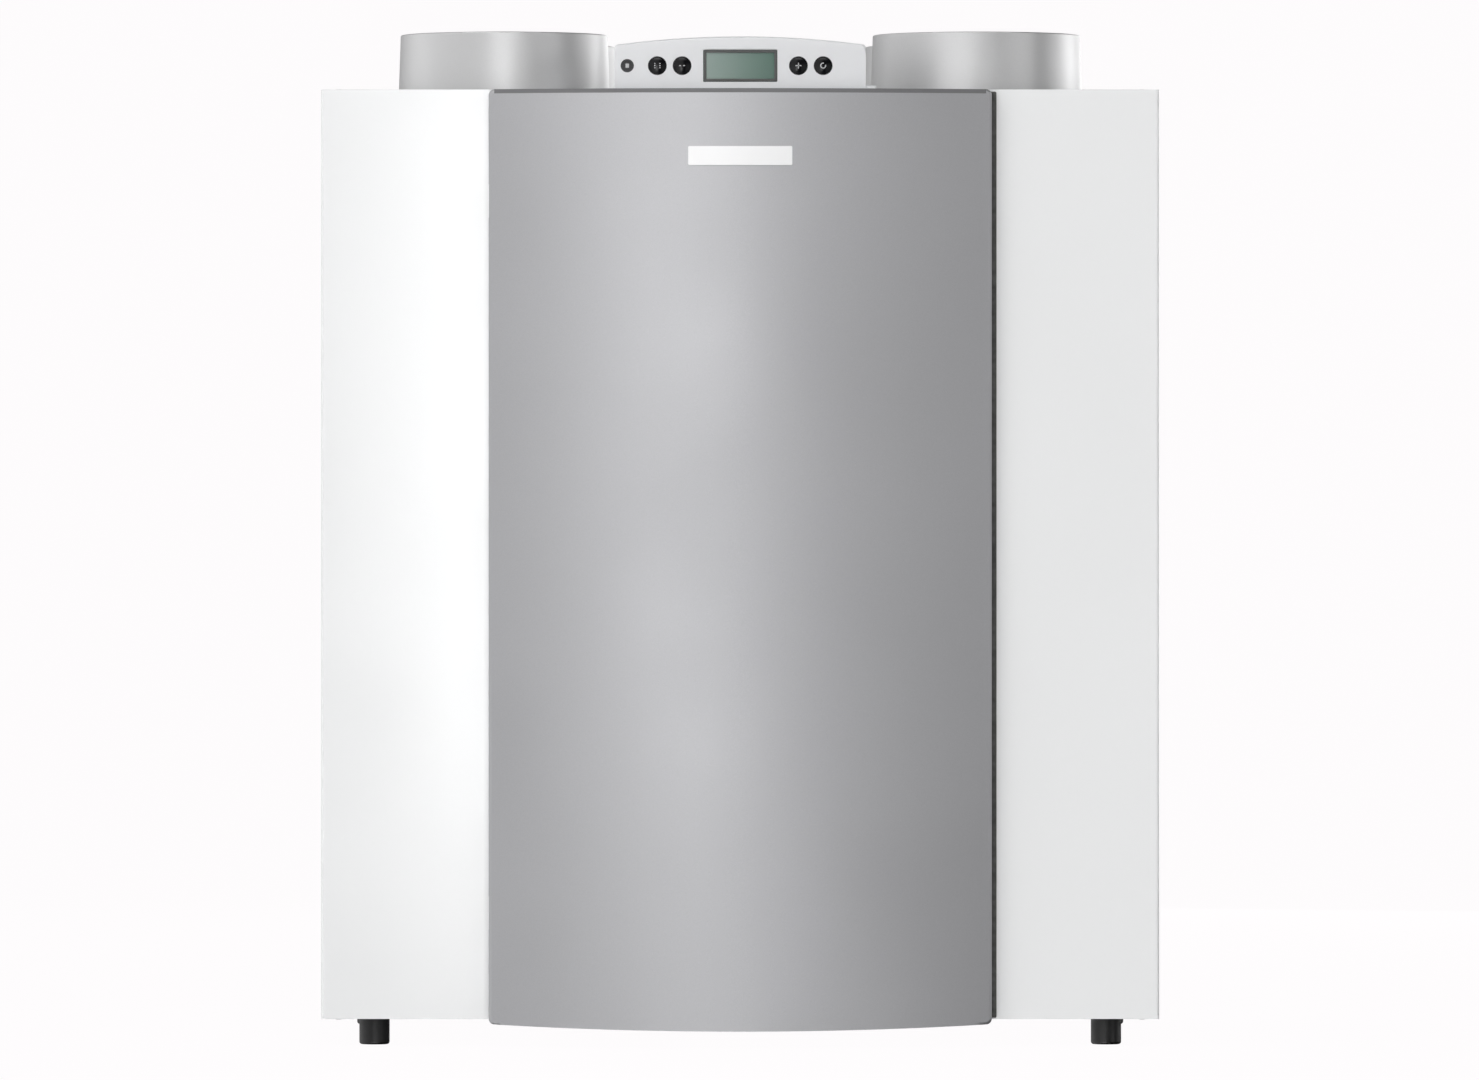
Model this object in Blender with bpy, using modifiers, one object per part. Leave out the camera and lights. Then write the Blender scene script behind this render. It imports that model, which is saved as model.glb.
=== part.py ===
"""Heat recovery ventilation unit, modelled as the assembly that comes apart on a bench.

Units are metres. +Z is up, the front faces -Y, and +X is to the right as seen from the front.
The origin is on the floor, under the middle of the whole unit.
"""
import math

import bmesh
import bpy
from mathutils import Euler, Vector

# ---------------------------------------------------------------- driving dimensions
# White sheet steel casing, without its feet and its door
CASE_WIDTH = 0.677
CASE_HEIGHT = 0.751
CASE_DEPTH = 0.509
SHEET = 0.0012
SIDE_FLANGE = 0.030  # returned edge of the side panels at the back
FIT_GAP = 0.0003  # between pieces that touch
LOOSE_GAP = 0.0015  # between pieces that drop in

# Rubber feet
FOOT_RADIUS = 0.0123
FOOT_HEIGHT = 0.022
FOOT_INSET = 0.0417  # front feet, from the casing's side
REAR_FOOT_INSET = 0.0270
FOOT_SETBACK = 0.045  # from the casing's front and back
FOOT_CHAMFER = 0.0016

# Duct spigots
SPIGOT_BORE = 0.080
SPIGOT_BASE_RADIUS = 0.0865
SPIGOT_RIM_RADIUS = 0.0849
SPIGOT_HEIGHT = 0.0495
SPIGOT_RIM_CHAMFER = 0.001
SPIGOT_FLANGE = 0.007  # how far the hidden flange stands out under the top plate
SPIGOT_FLANGE_THICKNESS = 0.003
SPIGOT_SIDE_INSET = 0.145  # from the casing's side to the front spigots' axes
SPIGOT_REAR_INSET = 0.149  # from the casing's side to the rear spigots' axes
SPIGOT_FRONT_INSET = 0.150  # from the casing's front to the front pair
SPIGOT_PITCH = 0.240  # from the front pair to the rear pair

# Bowed grey front door
DOOR_HALF_WIDTH = 0.203
DOOR_LAP = 0.013  # how far the door covers each white front strip
DOOR_BOW = 0.026
DOOR_EDGE = 0.0118
DOOR_GAP = 0.0012
DOOR_WALL = 0.002
DOOR_CORNER = 0.0045
DOOR_TOP_DROP = 0.0003  # below the top of the casing
DOOR_OVERHANG = 0.0039  # below the bottom of the casing, at the corners
DOOR_ARCH = 0.0048  # how much lower the middle of the bottom edge is

# Hinges and magnetic catches behind the door
HINGE_INSET = 0.0035  # from the door's left edge to the pin's axis
HINGE_FROM_CASE = 0.0072  # from the casing's front to the pin's axis
HINGE_PIN_RADIUS = 0.0015
HINGE_PIN_PLAY = 0.0001
HINGE_HEIGHT = 0.024
HINGE_END_INSET = 0.090  # from the door's top or bottom to each hinge
EAR_THICKNESS = 0.003
EAR_HALF_WIDTH = 0.0025
LEAF_THICKNESS = 0.0015
LEAF_REACH = 0.020
LUG_HEIGHT = 0.009
LUG_HALF_DEPTH = 0.003
LUG_REACH = 0.004
NOTCH_FORWARD = 0.0042  # from the pin's axis towards the front
CATCH_SIZE = (0.014, 0.0085, 0.040)

# Name badge
BADGE_WIDTH = 0.084
BADGE_HEIGHT = 0.0155
BADGE_THICKNESS = 0.001
BADGE_DROP = 0.0546  # from the casing's top to the badge's middle

# Control panel between the front spigots
CONTROL_CLEARANCE = 0.0054  # to the spigots
CONTROL_SIDE_HEIGHT = 0.0366
CONTROL_RISE = 0.0064
CONTROL_DEPTH = 0.060
CONTROL_WALL = 0.002
CONTROL_SETBACK = 0.002
CONTROL_CORNER = 0.003
CONTROL_TAB = (0.0085, 0.036, 0.003)
BUTTON_RADIUS = 0.0072
BUTTON_STANDOUT = 0.0014
BUTTON_TRAVEL = 0.0010
BUTTON_PLAY = 0.0004
BUTTON_COLLAR = 0.0014
BUTTON_STEM_RADIUS = 0.0022
BUTTON_STEM_LENGTH = 0.0025
BUTTON_LEVEL = 0.0193  # above the casing's top
BUTTON_INNER_X = 0.0470
BUTTON_OUTER_X = 0.0670
SOCKET_RADIUS = 0.0058
SOCKET_CORE_RADIUS = 0.0018
SOCKET_RECESS = 0.0022
SOCKET_LIP = 0.0008
SOCKET_LENGTH = 0.0120
SOCKET_FROM_SIDE = 0.0103  # from the control panel's left side
LCD_SIZE = (0.0600, 0.0262)
LCD_FRAME = 0.0032
LCD_BEZEL_DEPTH = 0.0050
LCD_BEZEL_STANDOUT = 0.0004
LCD_GLASS_RECESS = 0.0008
BOARD_THICKNESS = 0.0016
BOARD_CLEARANCE = 0.0095  # from the keys' collars, pressed, to the board
BOARD_SIDE_GAP = 0.005
BOARD_BELOW_KEYS = 0.015
BOARD_ABOVE_KEYS = 0.013

# Foam inner body and its chambers
FOAM_GAP = 0.002
FOAM_WALL = 0.022
FOAM_FLOOR = 0.043
FOAM_TOP_GAP = 0.0062
COVER_FOAM = 0.022
COVER_FOAM_INSET = 0.001
RISER_FRONT_WALL = 0.011
RISER_LAP = 0.004  # how far the riser reaches down over the fan's outlet
DIVIDER_HALF = 0.010
ELECTRONICS_HALF_WIDTH = 0.100
ELECTRONICS_DEPTH = 0.066
ELECTRONICS_WALL = 0.012
ELECTRONICS_FRONT_GAP = 0.002
ELECTRONICS_BACK_GAP = 0.040
MAIN_BOARD_RISE = 0.006
MAIN_BOARD_SIDE_GAP = 0.008
MAIN_BOARD_END_GAP = 0.010
CAPACITOR = (0.011, 0.030)
BOARD_BLOCKS = (  # name, place on the board (across, behind its front), size
    ("transformer", (-0.060, 0.055), (0.044, 0.040, 0.032)),
    ("relay", (0.030, 0.060), (0.030, 0.018, 0.018)),
    ("terminals", (0.020, 0.180), (0.080, 0.016, 0.014)),
)

# Heat exchanger: a six-sided counterflow block on its point
CORE_SIDE_INSET = 0.0185  # from the service cover's side
CORE_SHOULDER = 0.087
CORE_APEX = 0.185
CORE_FLOOR_CLEARANCE = 0.180  # from the foam's floor to the block's lower point
CORE_SETBACK = 0.010
CORE_DEPTH = 0.204
CORE_PLATES = 16
CORE_PLATE = 0.004
CORE_RECESS = 0.004
STRAP_THICKNESS = 0.0015
STRAP_WIDTH = 0.025
STRAP_HALF_LENGTH = 0.110
STRAP_HALF_LOOP = 0.050
STRAP_LOOP_REACH = 0.0085
BYPASS_DEPTH = 0.042
BYPASS_WALL = 0.004
BYPASS_INSET = 0.021  # from the open face to the flap's axis
BYPASS_FLAP = (0.032, 0.003)
BYPASS_FLAP_END_GAP = 0.005  # from the mouth's end to the blade
BYPASS_SHAFT_RADIUS = 0.003
BYPASS_SHAFT_PLAY = 0.0007
BYPASS_SHAFT_LAP = 0.004  # how far the shaft enters the motor and passes the blade
BYPASS_PANEL = 0.002  # the duct's flat front and back
BYPASS_MOUTH_END_GAP = 0.01811  # from the block's corner
BYPASS_MOUTH_RIM = 0.004
BYPASS_MOTOR = (0.050, 0.034, 0.038)
BYPASS_MOTOR_GAP = 0.001

# Filters, which lie along the block's upper faces
FILTER_END_GAP = 0.01011  # from the block's corner
FILTER_THICKNESS = 0.032
FILTER_OFFSET = 0.010  # from the block's face
FILTER_FRAME = 0.008
FILTER_PLEATS = 14
MEDIA_THICKNESS = 0.0022
CAP_FLANGE = 0.006
CAP_FLANGE_THICKNESS = 0.003
CAP_GRIP = (0.060, 0.012, 0.012)
CAP_SLOT_PLAY = 0.001

# Fans
FAN_INNER_RADIUS = 0.096
FAN_OUTER_RADIUS = 0.112
FAN_OUTLET_WIDTH = 0.076
FAN_OUTLET_HEIGHT = 0.124
FAN_DEPTH = 0.088
FAN_WALL = 0.002
FAN_INLET_RADIUS = 0.062
FAN_LEVEL = 0.118  # above the foam's floor
IMPELLER_RADIUS = 0.085
IMPELLER_WIDTH = 0.056
IMPELLER_BLADES = 11
IMPELLER_SWEEP = -0.75  # radians that a blade leans back
BLADE_THICKNESS = 0.0026
IMPELLER_BACK_GAP = 0.006
IMPELLER_DISC = 0.002
HUB_FRONT_WALL = 0.008
STATOR_SETBACK = 0.012  # from the impeller's front
HUB_RADIUS = 0.0405
HUB_BORE = 0.0365
STATOR_RADIUS = 0.0330
MOTOR_FLANGE_RADIUS = 0.058
MOTOR_FLANGE_THICKNESS = 0.003
MOTOR_CAN_RADIUS = 0.044
MOTOR_CAN_LENGTH = 0.022

# Condensate
TRAY_HEIGHT = 0.026
TRAY_WALL = 0.002
DRAIN_X = -0.090
DRAIN_FRONT_INSET = 0.150  # from the casing's front
DRAIN_RADIUS = 0.016
DRAIN_BORE = 0.012
DRAIN_LENGTH_BELOW = 0.012
DRAIN_FLANGE = 0.006
DRAIN_FLANGE_THICKNESS = 0.003
TRAY_END_GAP = 0.020  # from the tray's back to the front foam's back

# Wall mounting
WALL_STANDOFF = 0.016
RAIL_SHEET = 0.002
RAIL_HALF_WIDTH = 0.270
RAIL_TOP_DROP = 0.060  # from the casing's top
RAIL_HEIGHT = 0.070
BUFFER_RADIUS = 0.014
BUFFER_LEVEL = 0.070
BUFFER_INSET = 0.070

HOOK_DROP = 0.020
HOOK_REACH = 0.0095  # from the casing's back to the hook's outer face
RAIL_LIP_REACH = 0.0035  # from the casing's back to the rail's lip
RAIL_SHELF_DROP = 0.030
RAIL_OVERHANG = 0.010  # how much longer the rail is than the hanger, at each end
WALL_SCREW_RADIUS = 0.004
WALL_SCREW_PITCH = 0.200
WALL_SCREW_RISE = 0.018

# Top plate openings for the leads
RIBBON_SLOT = (0.060, 0.014)
RIBBON_SETBACK = 0.020  # from the control panel's front
GLAND_THREAD_RADIUS = 0.0080
GLAND_BORE = 0.0040
GLAND_NUT_RADIUS = 0.0118
GLAND_NUT_HEIGHT = 0.008
GLAND_DOME_RADIUS = 0.0100
GLAND_HEIGHT = 0.022

ROUND_STEPS = 32
CUT_OVERLAP = 0.010  # how far a cutter runs past what it cuts

# ---------------------------------------------------------------- places that follow from them
HALF_WIDTH = CASE_WIDTH / 2
FRONT_DEPTH = BADGE_THICKNESS + FIT_GAP + DOOR_BOW + DOOR_EDGE + DOOR_GAP
TOTAL_DEPTH = FRONT_DEPTH + CASE_DEPTH + WALL_STANDOFF
CASE_FRONT = -TOTAL_DEPTH / 2 + FRONT_DEPTH
CASE_BACK = CASE_FRONT + CASE_DEPTH
CASE_BOTTOM = FOOT_HEIGHT
CASE_TOP = CASE_BOTTOM + CASE_HEIGHT

DOOR_BACK = CASE_FRONT - DOOR_GAP
DOOR_SHOULDER = DOOR_BACK - DOOR_EDGE
DOOR_TOP = CASE_TOP - DOOR_TOP_DROP
DOOR_BOTTOM = CASE_BOTTOM - DOOR_OVERHANG
BOW_RADIUS = (DOOR_HALF_WIDTH**2 + DOOR_BOW**2) / (2 * DOOR_BOW)
BOW_CENTRE_Y = DOOR_SHOULDER - DOOR_BOW + BOW_RADIUS
HINGE_X = -DOOR_HALF_WIDTH + HINGE_INSET
HINGE_Y = CASE_FRONT - HINGE_FROM_CASE

SPIGOT_X = HALF_WIDTH - SPIGOT_SIDE_INSET
SPIGOT_REAR_X = HALF_WIDTH - SPIGOT_REAR_INSET
SPIGOT_FRONT_Y = CASE_FRONT + SPIGOT_FRONT_INSET
SPIGOT_REAR_Y = SPIGOT_FRONT_Y + SPIGOT_PITCH

CONTROL_HALF = SPIGOT_X - SPIGOT_BASE_RADIUS - CONTROL_CLEARANCE
CONTROL_FRONT = CASE_FRONT + CONTROL_SETBACK
CONTROL_BASE = CASE_TOP + FIT_GAP
CONTROL_TOP = CASE_TOP + CONTROL_SIDE_HEIGHT + CONTROL_RISE
BUTTON_Z = CASE_TOP + BUTTON_LEVEL
SOCKET_X = -CONTROL_HALF + SOCKET_FROM_SIDE

FOAM_HALF = HALF_WIDTH - SHEET - FOAM_GAP
FOAM_BOTTOM = CASE_BOTTOM + SHEET + 2 * FIT_GAP
FOAM_TOP = CASE_TOP - SHEET - FOAM_TOP_GAP
CHAMBER_HALF = FOAM_HALF - FOAM_WALL
CHAMBER_FLOOR = FOAM_BOTTOM + FOAM_FLOOR
CHAMBER_TOP = FOAM_TOP - FOAM_WALL
FOAM_FRONT = CASE_FRONT + SHEET + COVER_FOAM + 3 * FIT_GAP
CORE_FRONT = FOAM_FRONT + CORE_SETBACK
BYPASS_FRONT = CORE_FRONT + CORE_DEPTH + FIT_GAP
FOAM_SPLIT = BYPASS_FRONT + BYPASS_DEPTH + LOOSE_GAP
FOAM_BACK = CASE_BACK - 2 * SHEET - LOOSE_GAP - 2 * FIT_GAP
CORE_Z = CHAMBER_FLOOR + CORE_FLOOR_CLEARANCE + CORE_APEX
SEAM_X = DOOR_HALF_WIDTH - DOOR_LAP  # inner edge of the white front strips
SERVICE_HALF = SEAM_X - LOOSE_GAP
CORE_HALF_WIDTH = SERVICE_HALF - CORE_SIDE_INSET
CORE_FACE = math.hypot(CORE_HALF_WIDTH, CORE_APEX - CORE_SHOULDER)  # length of an inclined face
CORE_ANGLE = math.atan2(CORE_APEX - CORE_SHOULDER, CORE_HALF_WIDTH)
FILTER_LENGTH = CORE_FACE - 2 * FILTER_END_GAP
FILTER_DEPTH = CORE_SETBACK + CORE_DEPTH
BYPASS_MOUTH_LENGTH = CORE_FACE - 2 * BYPASS_MOUTH_END_GAP
BYPASS_FLAP_LENGTH = BYPASS_MOUTH_LENGTH - 2 * BYPASS_FLAP_END_GAP
FAN_X = SPIGOT_REAR_X - FAN_OUTER_RADIUS + FAN_OUTLET_WIDTH / 2
FAN_Z = CHAMBER_FLOOR + FAN_LEVEL
FAN_FRONT = FOAM_SPLIT + 3 * FIT_GAP
DRAIN_Y = CASE_FRONT + DRAIN_FRONT_INSET


# ---------------------------------------------------------------- scene and materials
def clear_scene():
    for obj in list(bpy.data.objects):
        bpy.data.objects.remove(obj)


def make_collection(name):
    made = bpy.data.collections.new(name)
    bpy.context.scene.collection.children.link(made)
    return made


clear_scene()
PARTS = make_collection("heat_recovery_unit")
CUTTERS = make_collection("cutters")


def material(name, colour, roughness, metallic=0.0):
    made = bpy.data.materials.new(name)
    made.use_nodes = True
    shader = made.node_tree.nodes["Principled BSDF"]
    shader.inputs["Base Color"].default_value = (*colour, 1.0)
    shader.inputs["Roughness"].default_value = roughness
    shader.inputs["Metallic"].default_value = metallic
    made.diffuse_color = (*colour, 1.0)
    return made


WHITE_STEEL = material("white_painted_steel", (0.87, 0.88, 0.89), 0.35)
GREY_DOOR = material("grey_metallic_paint", (0.42, 0.42, 0.45), 0.4, 0.6)
SPIGOT_GREY = material("spigot_grey", (0.55, 0.55, 0.56), 0.35, 0.7)
CONTROL_WHITE = material("control_white", (0.82, 0.83, 0.85), 0.4)
BLACK_KEY = material("black_key", (0.02, 0.02, 0.025), 0.3)
LCD_GREEN = material("lcd_green", (0.09, 0.18, 0.14), 0.15)
DARK_PLASTIC = material("dark_plastic", (0.06, 0.06, 0.065), 0.5)
BLACK_RUBBER = material("black_rubber", (0.02, 0.02, 0.02), 0.7)
GREY_FOAM = material("grey_foam", (0.16, 0.16, 0.17), 0.9)
ZINC_STEEL = material("zinc_steel", (0.6, 0.6, 0.6), 0.35, 1.0)
PALE_PLASTIC = material("pale_plastic", (0.75, 0.78, 0.8), 0.5)
FILTER_CLOTH = material("filter_cloth", (0.85, 0.87, 0.86), 0.95)
BOARD_GREEN = material("board_green", (0.03, 0.2, 0.08), 0.4)


# ---------------------------------------------------------------- modelling helpers
def add(name, data, colour, place=(0, 0, 0), turn=(0, 0, 0)):
    """A named object in the parts collection."""
    obj = bpy.data.objects.new(name, data)
    obj.location = place
    obj.rotation_euler = turn
    PARTS.objects.link(obj)
    if colour is not None:
        obj.data.materials.append(colour)
    return obj


def from_bmesh(name, bm, colour, place, turn=(0, 0, 0)):
    mesh = bpy.data.meshes.new(name)
    bm.to_mesh(mesh)
    bm.free()
    return add(name, mesh, colour, place, turn)


def as_tool(obj):
    """Moves an object to the cutters, where it isn't a part."""
    PARTS.objects.unlink(obj)
    CUTTERS.objects.link(obj)
    obj.hide_render = True
    obj.display_type = "WIRE"
    return obj


def combine(obj, operation, tools):
    for tool in tools:
        modifier = obj.modifiers.new(f"{operation.lower()}_{tool.name}", "BOOLEAN")
        modifier.operation = operation
        modifier.object = as_tool(tool)
    return obj


def cut(obj, *tools):
    return combine(obj, "DIFFERENCE", tools)


def join(obj, *tools):
    return combine(obj, "UNION", tools)


def block(name, low, high, colour=None, turn=(0, 0, 0)):
    """A box between two corners, turned about its own middle."""
    low, high = Vector(low), Vector(high)
    bm = bmesh.new()
    bmesh.ops.create_cube(bm, size=1.0)
    bmesh.ops.scale(bm, vec=high - low, verts=bm.verts)
    return from_bmesh(name, bm, colour, (low + high) / 2, turn)


def block_at(name, centre, size, colour=None, turn=(0, 0, 0)):
    centre, size = Vector(centre), Vector(size)
    return block(name, centre - size / 2, centre + size / 2, colour, turn)


AXIS_TURN = {"X": (0, math.pi / 2, 0), "Y": (-math.pi / 2, 0, 0), "Z": (0, 0, 0)}


def rod(name, radius, low, high, centre, axis="Z", colour=None, steps=ROUND_STEPS):
    """A cylinder along an axis from low to high, through centre on the other two axes."""
    bm = bmesh.new()
    bmesh.ops.create_cone(
        bm, cap_ends=True, segments=steps, radius1=radius, radius2=radius, depth=high - low
    )
    place = Vector(centre)
    place["XYZ".index(axis)] = (low + high) / 2
    obj = from_bmesh(name, bm, colour, place, AXIS_TURN[axis])
    smooth(obj)
    return obj


def smooth(obj, degrees=35):
    obj.data.shade_smooth()
    obj.data.set_sharp_from_angle(angle=math.radians(degrees))


def turned(name, profile, place, axis="Z", colour=None, steps=ROUND_STEPS, closed=False):
    """A profile of (radius, height) points, screwed round an axis. It runs down its outer side."""
    bm = bmesh.new()
    points = [bm.verts.new((radius, 0, height)) for radius, height in profile]
    for first, second in zip(points, points[1:]):
        bm.edges.new((first, second))
    if closed:
        bm.edges.new((points[-1], points[0]))
    obj = from_bmesh(name, bm, colour, place, AXIS_TURN[axis])
    screw = obj.modifiers.new("screw", "SCREW")
    screw.axis = "Z"
    screw.angle = math.tau
    screw.steps = steps
    screw.render_steps = steps
    screw.use_merge_vertices = True
    screw.merge_threshold = 0.00005
    screw.use_smooth_shade = True
    return obj


PLANE_TURN = {
    "front": (math.pi / 2, 0, 0),  # outline in X and Z, thickness along Y
    "plan": (0, 0, 0),  # outline in X and Y, thickness along Z
    "side": (math.pi / 2, 0, math.pi / 2),  # outline in Y and Z, thickness along X
}
PLANE_NORMAL = {"front": "Y", "plan": "Z", "side": "X"}


def prism(name, outlines, plane, low, high, colour=None, place=(0, 0, 0)):
    """Flat outlines made as thick as high minus low, turned to face along the plane's normal."""
    curve = bpy.data.curves.new(name, "CURVE")
    curve.dimensions = "2D"
    curve.fill_mode = "BOTH"
    curve.extrude = (high - low) / 2
    for outline in outlines:
        spline = curve.splines.new("POLY")
        spline.points.add(len(outline) - 1)
        for point, (across, up) in zip(spline.points, outline):
            point.co = (across, up, 0, 1)
        spline.use_cyclic_u = True
    middle = Vector(place)
    middle["XYZ".index(PLANE_NORMAL[plane])] += (low + high) / 2
    drawn = add(name + "_curve", curve, None, middle, PLANE_TURN[plane])
    bpy.context.view_layer.update()
    graph = bpy.context.evaluated_depsgraph_get()
    mesh = bpy.data.meshes.new_from_object(drawn.evaluated_get(graph))
    bm = bmesh.new()
    bm.from_mesh(mesh)
    bmesh.ops.remove_doubles(bm, verts=bm.verts, dist=0.00001)
    bmesh.ops.recalc_face_normals(bm, faces=bm.faces)
    bm.to_mesh(mesh)
    bm.free()
    obj = add(name, mesh, colour)
    obj.matrix_world = drawn.matrix_world.copy()
    bpy.data.objects.remove(drawn)
    return obj


def arc(centre, radius, start, end, steps):
    """Points on an arc, angles in radians."""
    return [
        (
            centre[0] + radius * math.cos(start + (end - start) * i / steps),
            centre[1] + radius * math.sin(start + (end - start) * i / steps),
        )
        for i in range(steps + 1)
    ]


def mirrored(outline, side):
    """The outline itself on the left side (-1 side is how it is drawn), or its mirror image."""
    return [(-x, z) for x, z in outline] if side > 0 else list(outline)


SIDES = {"left": -1, "right": 1}
ENDS = {"front": (SPIGOT_X, SPIGOT_FRONT_Y), "rear": (SPIGOT_REAR_X, SPIGOT_REAR_Y)}


# ---------------------------------------------------------------- casing
def side_panel(word, side):
    """Side, front strip and rear flange, bent from one sheet."""
    front, back = CASE_FRONT, CASE_BACK
    outline = [
        (-SEAM_X, front),
        (-HALF_WIDTH, front),
        (-HALF_WIDTH, back),
        (-HALF_WIDTH + SIDE_FLANGE, back),
        (-HALF_WIDTH + SIDE_FLANGE, back - SHEET),
        (-HALF_WIDTH + SHEET, back - SHEET),
        (-HALF_WIDTH + SHEET, front + SHEET),
        (-SEAM_X, front + SHEET),
    ]
    name = f"{word}_side_panel"
    return prism(name, [mirrored(outline, side)], "plan", CASE_BOTTOM, CASE_TOP, WHITE_STEEL)


def level_plate(name, low, high):
    """A flat plate that drops in between the side panels."""
    half = HALF_WIDTH - SHEET - FIT_GAP
    front, back = CASE_FRONT + SHEET + FIT_GAP, CASE_BACK - SHEET - FIT_GAP
    return block(name, (-half, front, low), (half, back, high), WHITE_STEEL)


def top_plate():
    plate = level_plate("top_plate", CASE_TOP - SHEET, CASE_TOP)
    radius = SPIGOT_BASE_RADIUS + 2 * FIT_GAP
    low, high = CASE_TOP - CUT_OVERLAP, CASE_TOP + CUT_OVERLAP
    for word, side in SIDES.items():
        for end, (x, y) in ENDS.items():
            centre = (side * x, y, 0)
            cut(plate, rod(f"top_hole_{end}_{word}", radius, low, high, centre))
    width, depth = RIBBON_SLOT
    slot_front = CONTROL_FRONT + RIBBON_SETBACK
    ribbon_slot = block("ribbon_slot", (-width / 2, slot_front, low), (width / 2, slot_front + depth, high))
    gland_hole = rod("gland_hole", GLAND_THREAD_RADIUS + FIT_GAP, low, high, (0, SPIGOT_REAR_Y, 0))
    return cut(plate, ribbon_slot, gland_hole)


def bottom_plate():
    plate = level_plate("bottom_plate", CASE_BOTTOM, CASE_BOTTOM + SHEET)
    low, high = CASE_BOTTOM - CUT_OVERLAP, CASE_BOTTOM + CUT_OVERLAP
    hole = rod("bottom_drain_hole", DRAIN_RADIUS + FIT_GAP, low, high, (DRAIN_X, DRAIN_Y, 0))
    return cut(plate, hole)


def back_plate():
    """Flat sheet behind the side panels' rear flanges."""
    half = HALF_WIDTH - SHEET - FIT_GAP
    back = CASE_BACK - SHEET - FIT_GAP
    low, high = CASE_BOTTOM + SHEET + FIT_GAP, CASE_TOP - SHEET - FIT_GAP
    return block("back_plate", (-half, back - SHEET, low), (half, back, high), WHITE_STEEL)


def foot(name, x, y):
    profile = [
        (0, FOOT_HEIGHT - FIT_GAP),
        (FOOT_RADIUS, FOOT_HEIGHT - FIT_GAP),
        (FOOT_RADIUS, FOOT_CHAMFER),
        (FOOT_RADIUS - FOOT_CHAMFER, 0),
        (0, 0),
    ]
    return turned(name, profile, (x, y, 0), colour=BLACK_RUBBER, steps=24)


def feet():
    for word, side in SIDES.items():
        foot(f"foot_front_{word}", side * (HALF_WIDTH - FOOT_INSET), CASE_FRONT + FOOT_SETBACK)
        foot(f"foot_rear_{word}", side * (HALF_WIDTH - REAR_FOOT_INSET), CASE_BACK - FOOT_SETBACK)


# ---------------------------------------------------------------- duct spigots
def spigot(name, x, y):
    """Tapered collar that a duct slips over or into, with a flange under the top plate."""
    flange_top = CASE_TOP - SHEET - FIT_GAP
    flange_bottom = flange_top - SPIGOT_FLANGE_THICKNESS
    rim = CASE_TOP + SPIGOT_HEIGHT
    flange_radius = SPIGOT_BASE_RADIUS + SPIGOT_FLANGE
    profile = [
        (SPIGOT_RIM_RADIUS - SPIGOT_RIM_CHAMFER, rim),
        (SPIGOT_RIM_RADIUS, rim - SPIGOT_RIM_CHAMFER),
        (SPIGOT_BASE_RADIUS, CASE_TOP),
        (SPIGOT_BASE_RADIUS, flange_top),
        (flange_radius, flange_top),
        (flange_radius, flange_bottom),
        (SPIGOT_BORE, flange_bottom),
        (SPIGOT_BORE, rim),
    ]
    return turned(name, profile, (x, y, 0), colour=SPIGOT_GREY, closed=True)


def spigots():
    for word, side in SIDES.items():
        for end, (x, y) in ENDS.items():
            spigot(f"spigot_{end}_{word}", side * x, y)


# ---------------------------------------------------------------- door
def bow_y(x, inward=0.0):
    """Y of the door's bowed front at x, moved in by a distance."""
    return BOW_CENTRE_Y - math.sqrt((BOW_RADIUS - inward) ** 2 - x * x)


def bow_arc(half, inward, steps):
    """The bowed front from left to right."""
    return [
        (x, bow_y(x, inward)) for x in (-half + 2 * half * i / steps for i in range(steps + 1))
    ]


def door_face_outline(inset):
    """The door seen from the front: rounded corners, flat top and arched bottom edge."""
    half, top = DOOR_HALF_WIDTH - inset, DOOR_TOP - inset
    low = DOOR_BOTTOM + inset
    corner = DOOR_CORNER - inset
    points = []
    points += arc((half - corner, top - corner), corner, 0, math.pi / 2, 4)
    points += arc((-half + corner, top - corner), corner, math.pi / 2, math.pi, 4)
    points += arc((-half + corner, low + corner), corner, math.pi, 1.5 * math.pi, 4)
    inner = half - corner
    for i in range(1, 16):
        x = -inner + 2 * inner * i / 16
        points.append((x, low - DOOR_ARCH * (1 - (x / inner) ** 2)))
    points += arc((half - corner, low + corner), corner, 1.5 * math.pi, math.tau, 4)
    return points


def door_volume(name, inset, back):
    """Everything between the bowed front, moved in by inset, and the plane y = back."""
    half = DOOR_HALF_WIDTH - inset
    plan = bow_arc(half, inset, 20) + [(half, back), (-half, back)]
    low, high = DOOR_BOTTOM - DOOR_ARCH - CUT_OVERLAP, DOOR_TOP + CUT_OVERLAP
    body = prism(name, [plan], "plan", low, high, GREY_DOOR)
    face = prism(name + "_face", [door_face_outline(inset)], "front", -TOTAL_DEPTH, 0)
    return combine(body, "INTERSECT", [face])


def hinge_levels():
    return {
        "lower": DOOR_BOTTOM + HINGE_END_INSET,
        "upper": DOOR_TOP - HINGE_END_INSET,
    }


def door_panel():
    """Bowed sheet with returned edges, notched where the hinges reach in."""
    door = door_volume("door_panel", 0.0, DOOR_BACK)
    hollow = door_volume("door_hollow", DOOR_WALL, DOOR_BACK + CUT_OVERLAP)
    cut(door, hollow)
    reach = HINGE_HEIGHT / 2 + LOOSE_GAP
    for word, level in hinge_levels().items():
        notch = block(
            f"hinge_notch_{word}",
            (-DOOR_HALF_WIDTH - CUT_OVERLAP, HINGE_Y - NOTCH_FORWARD, level - reach),
            (HINGE_X + FIT_GAP, DOOR_BACK + CUT_OVERLAP, level + reach),
        )
        cut(door, notch)
    return door


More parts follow.
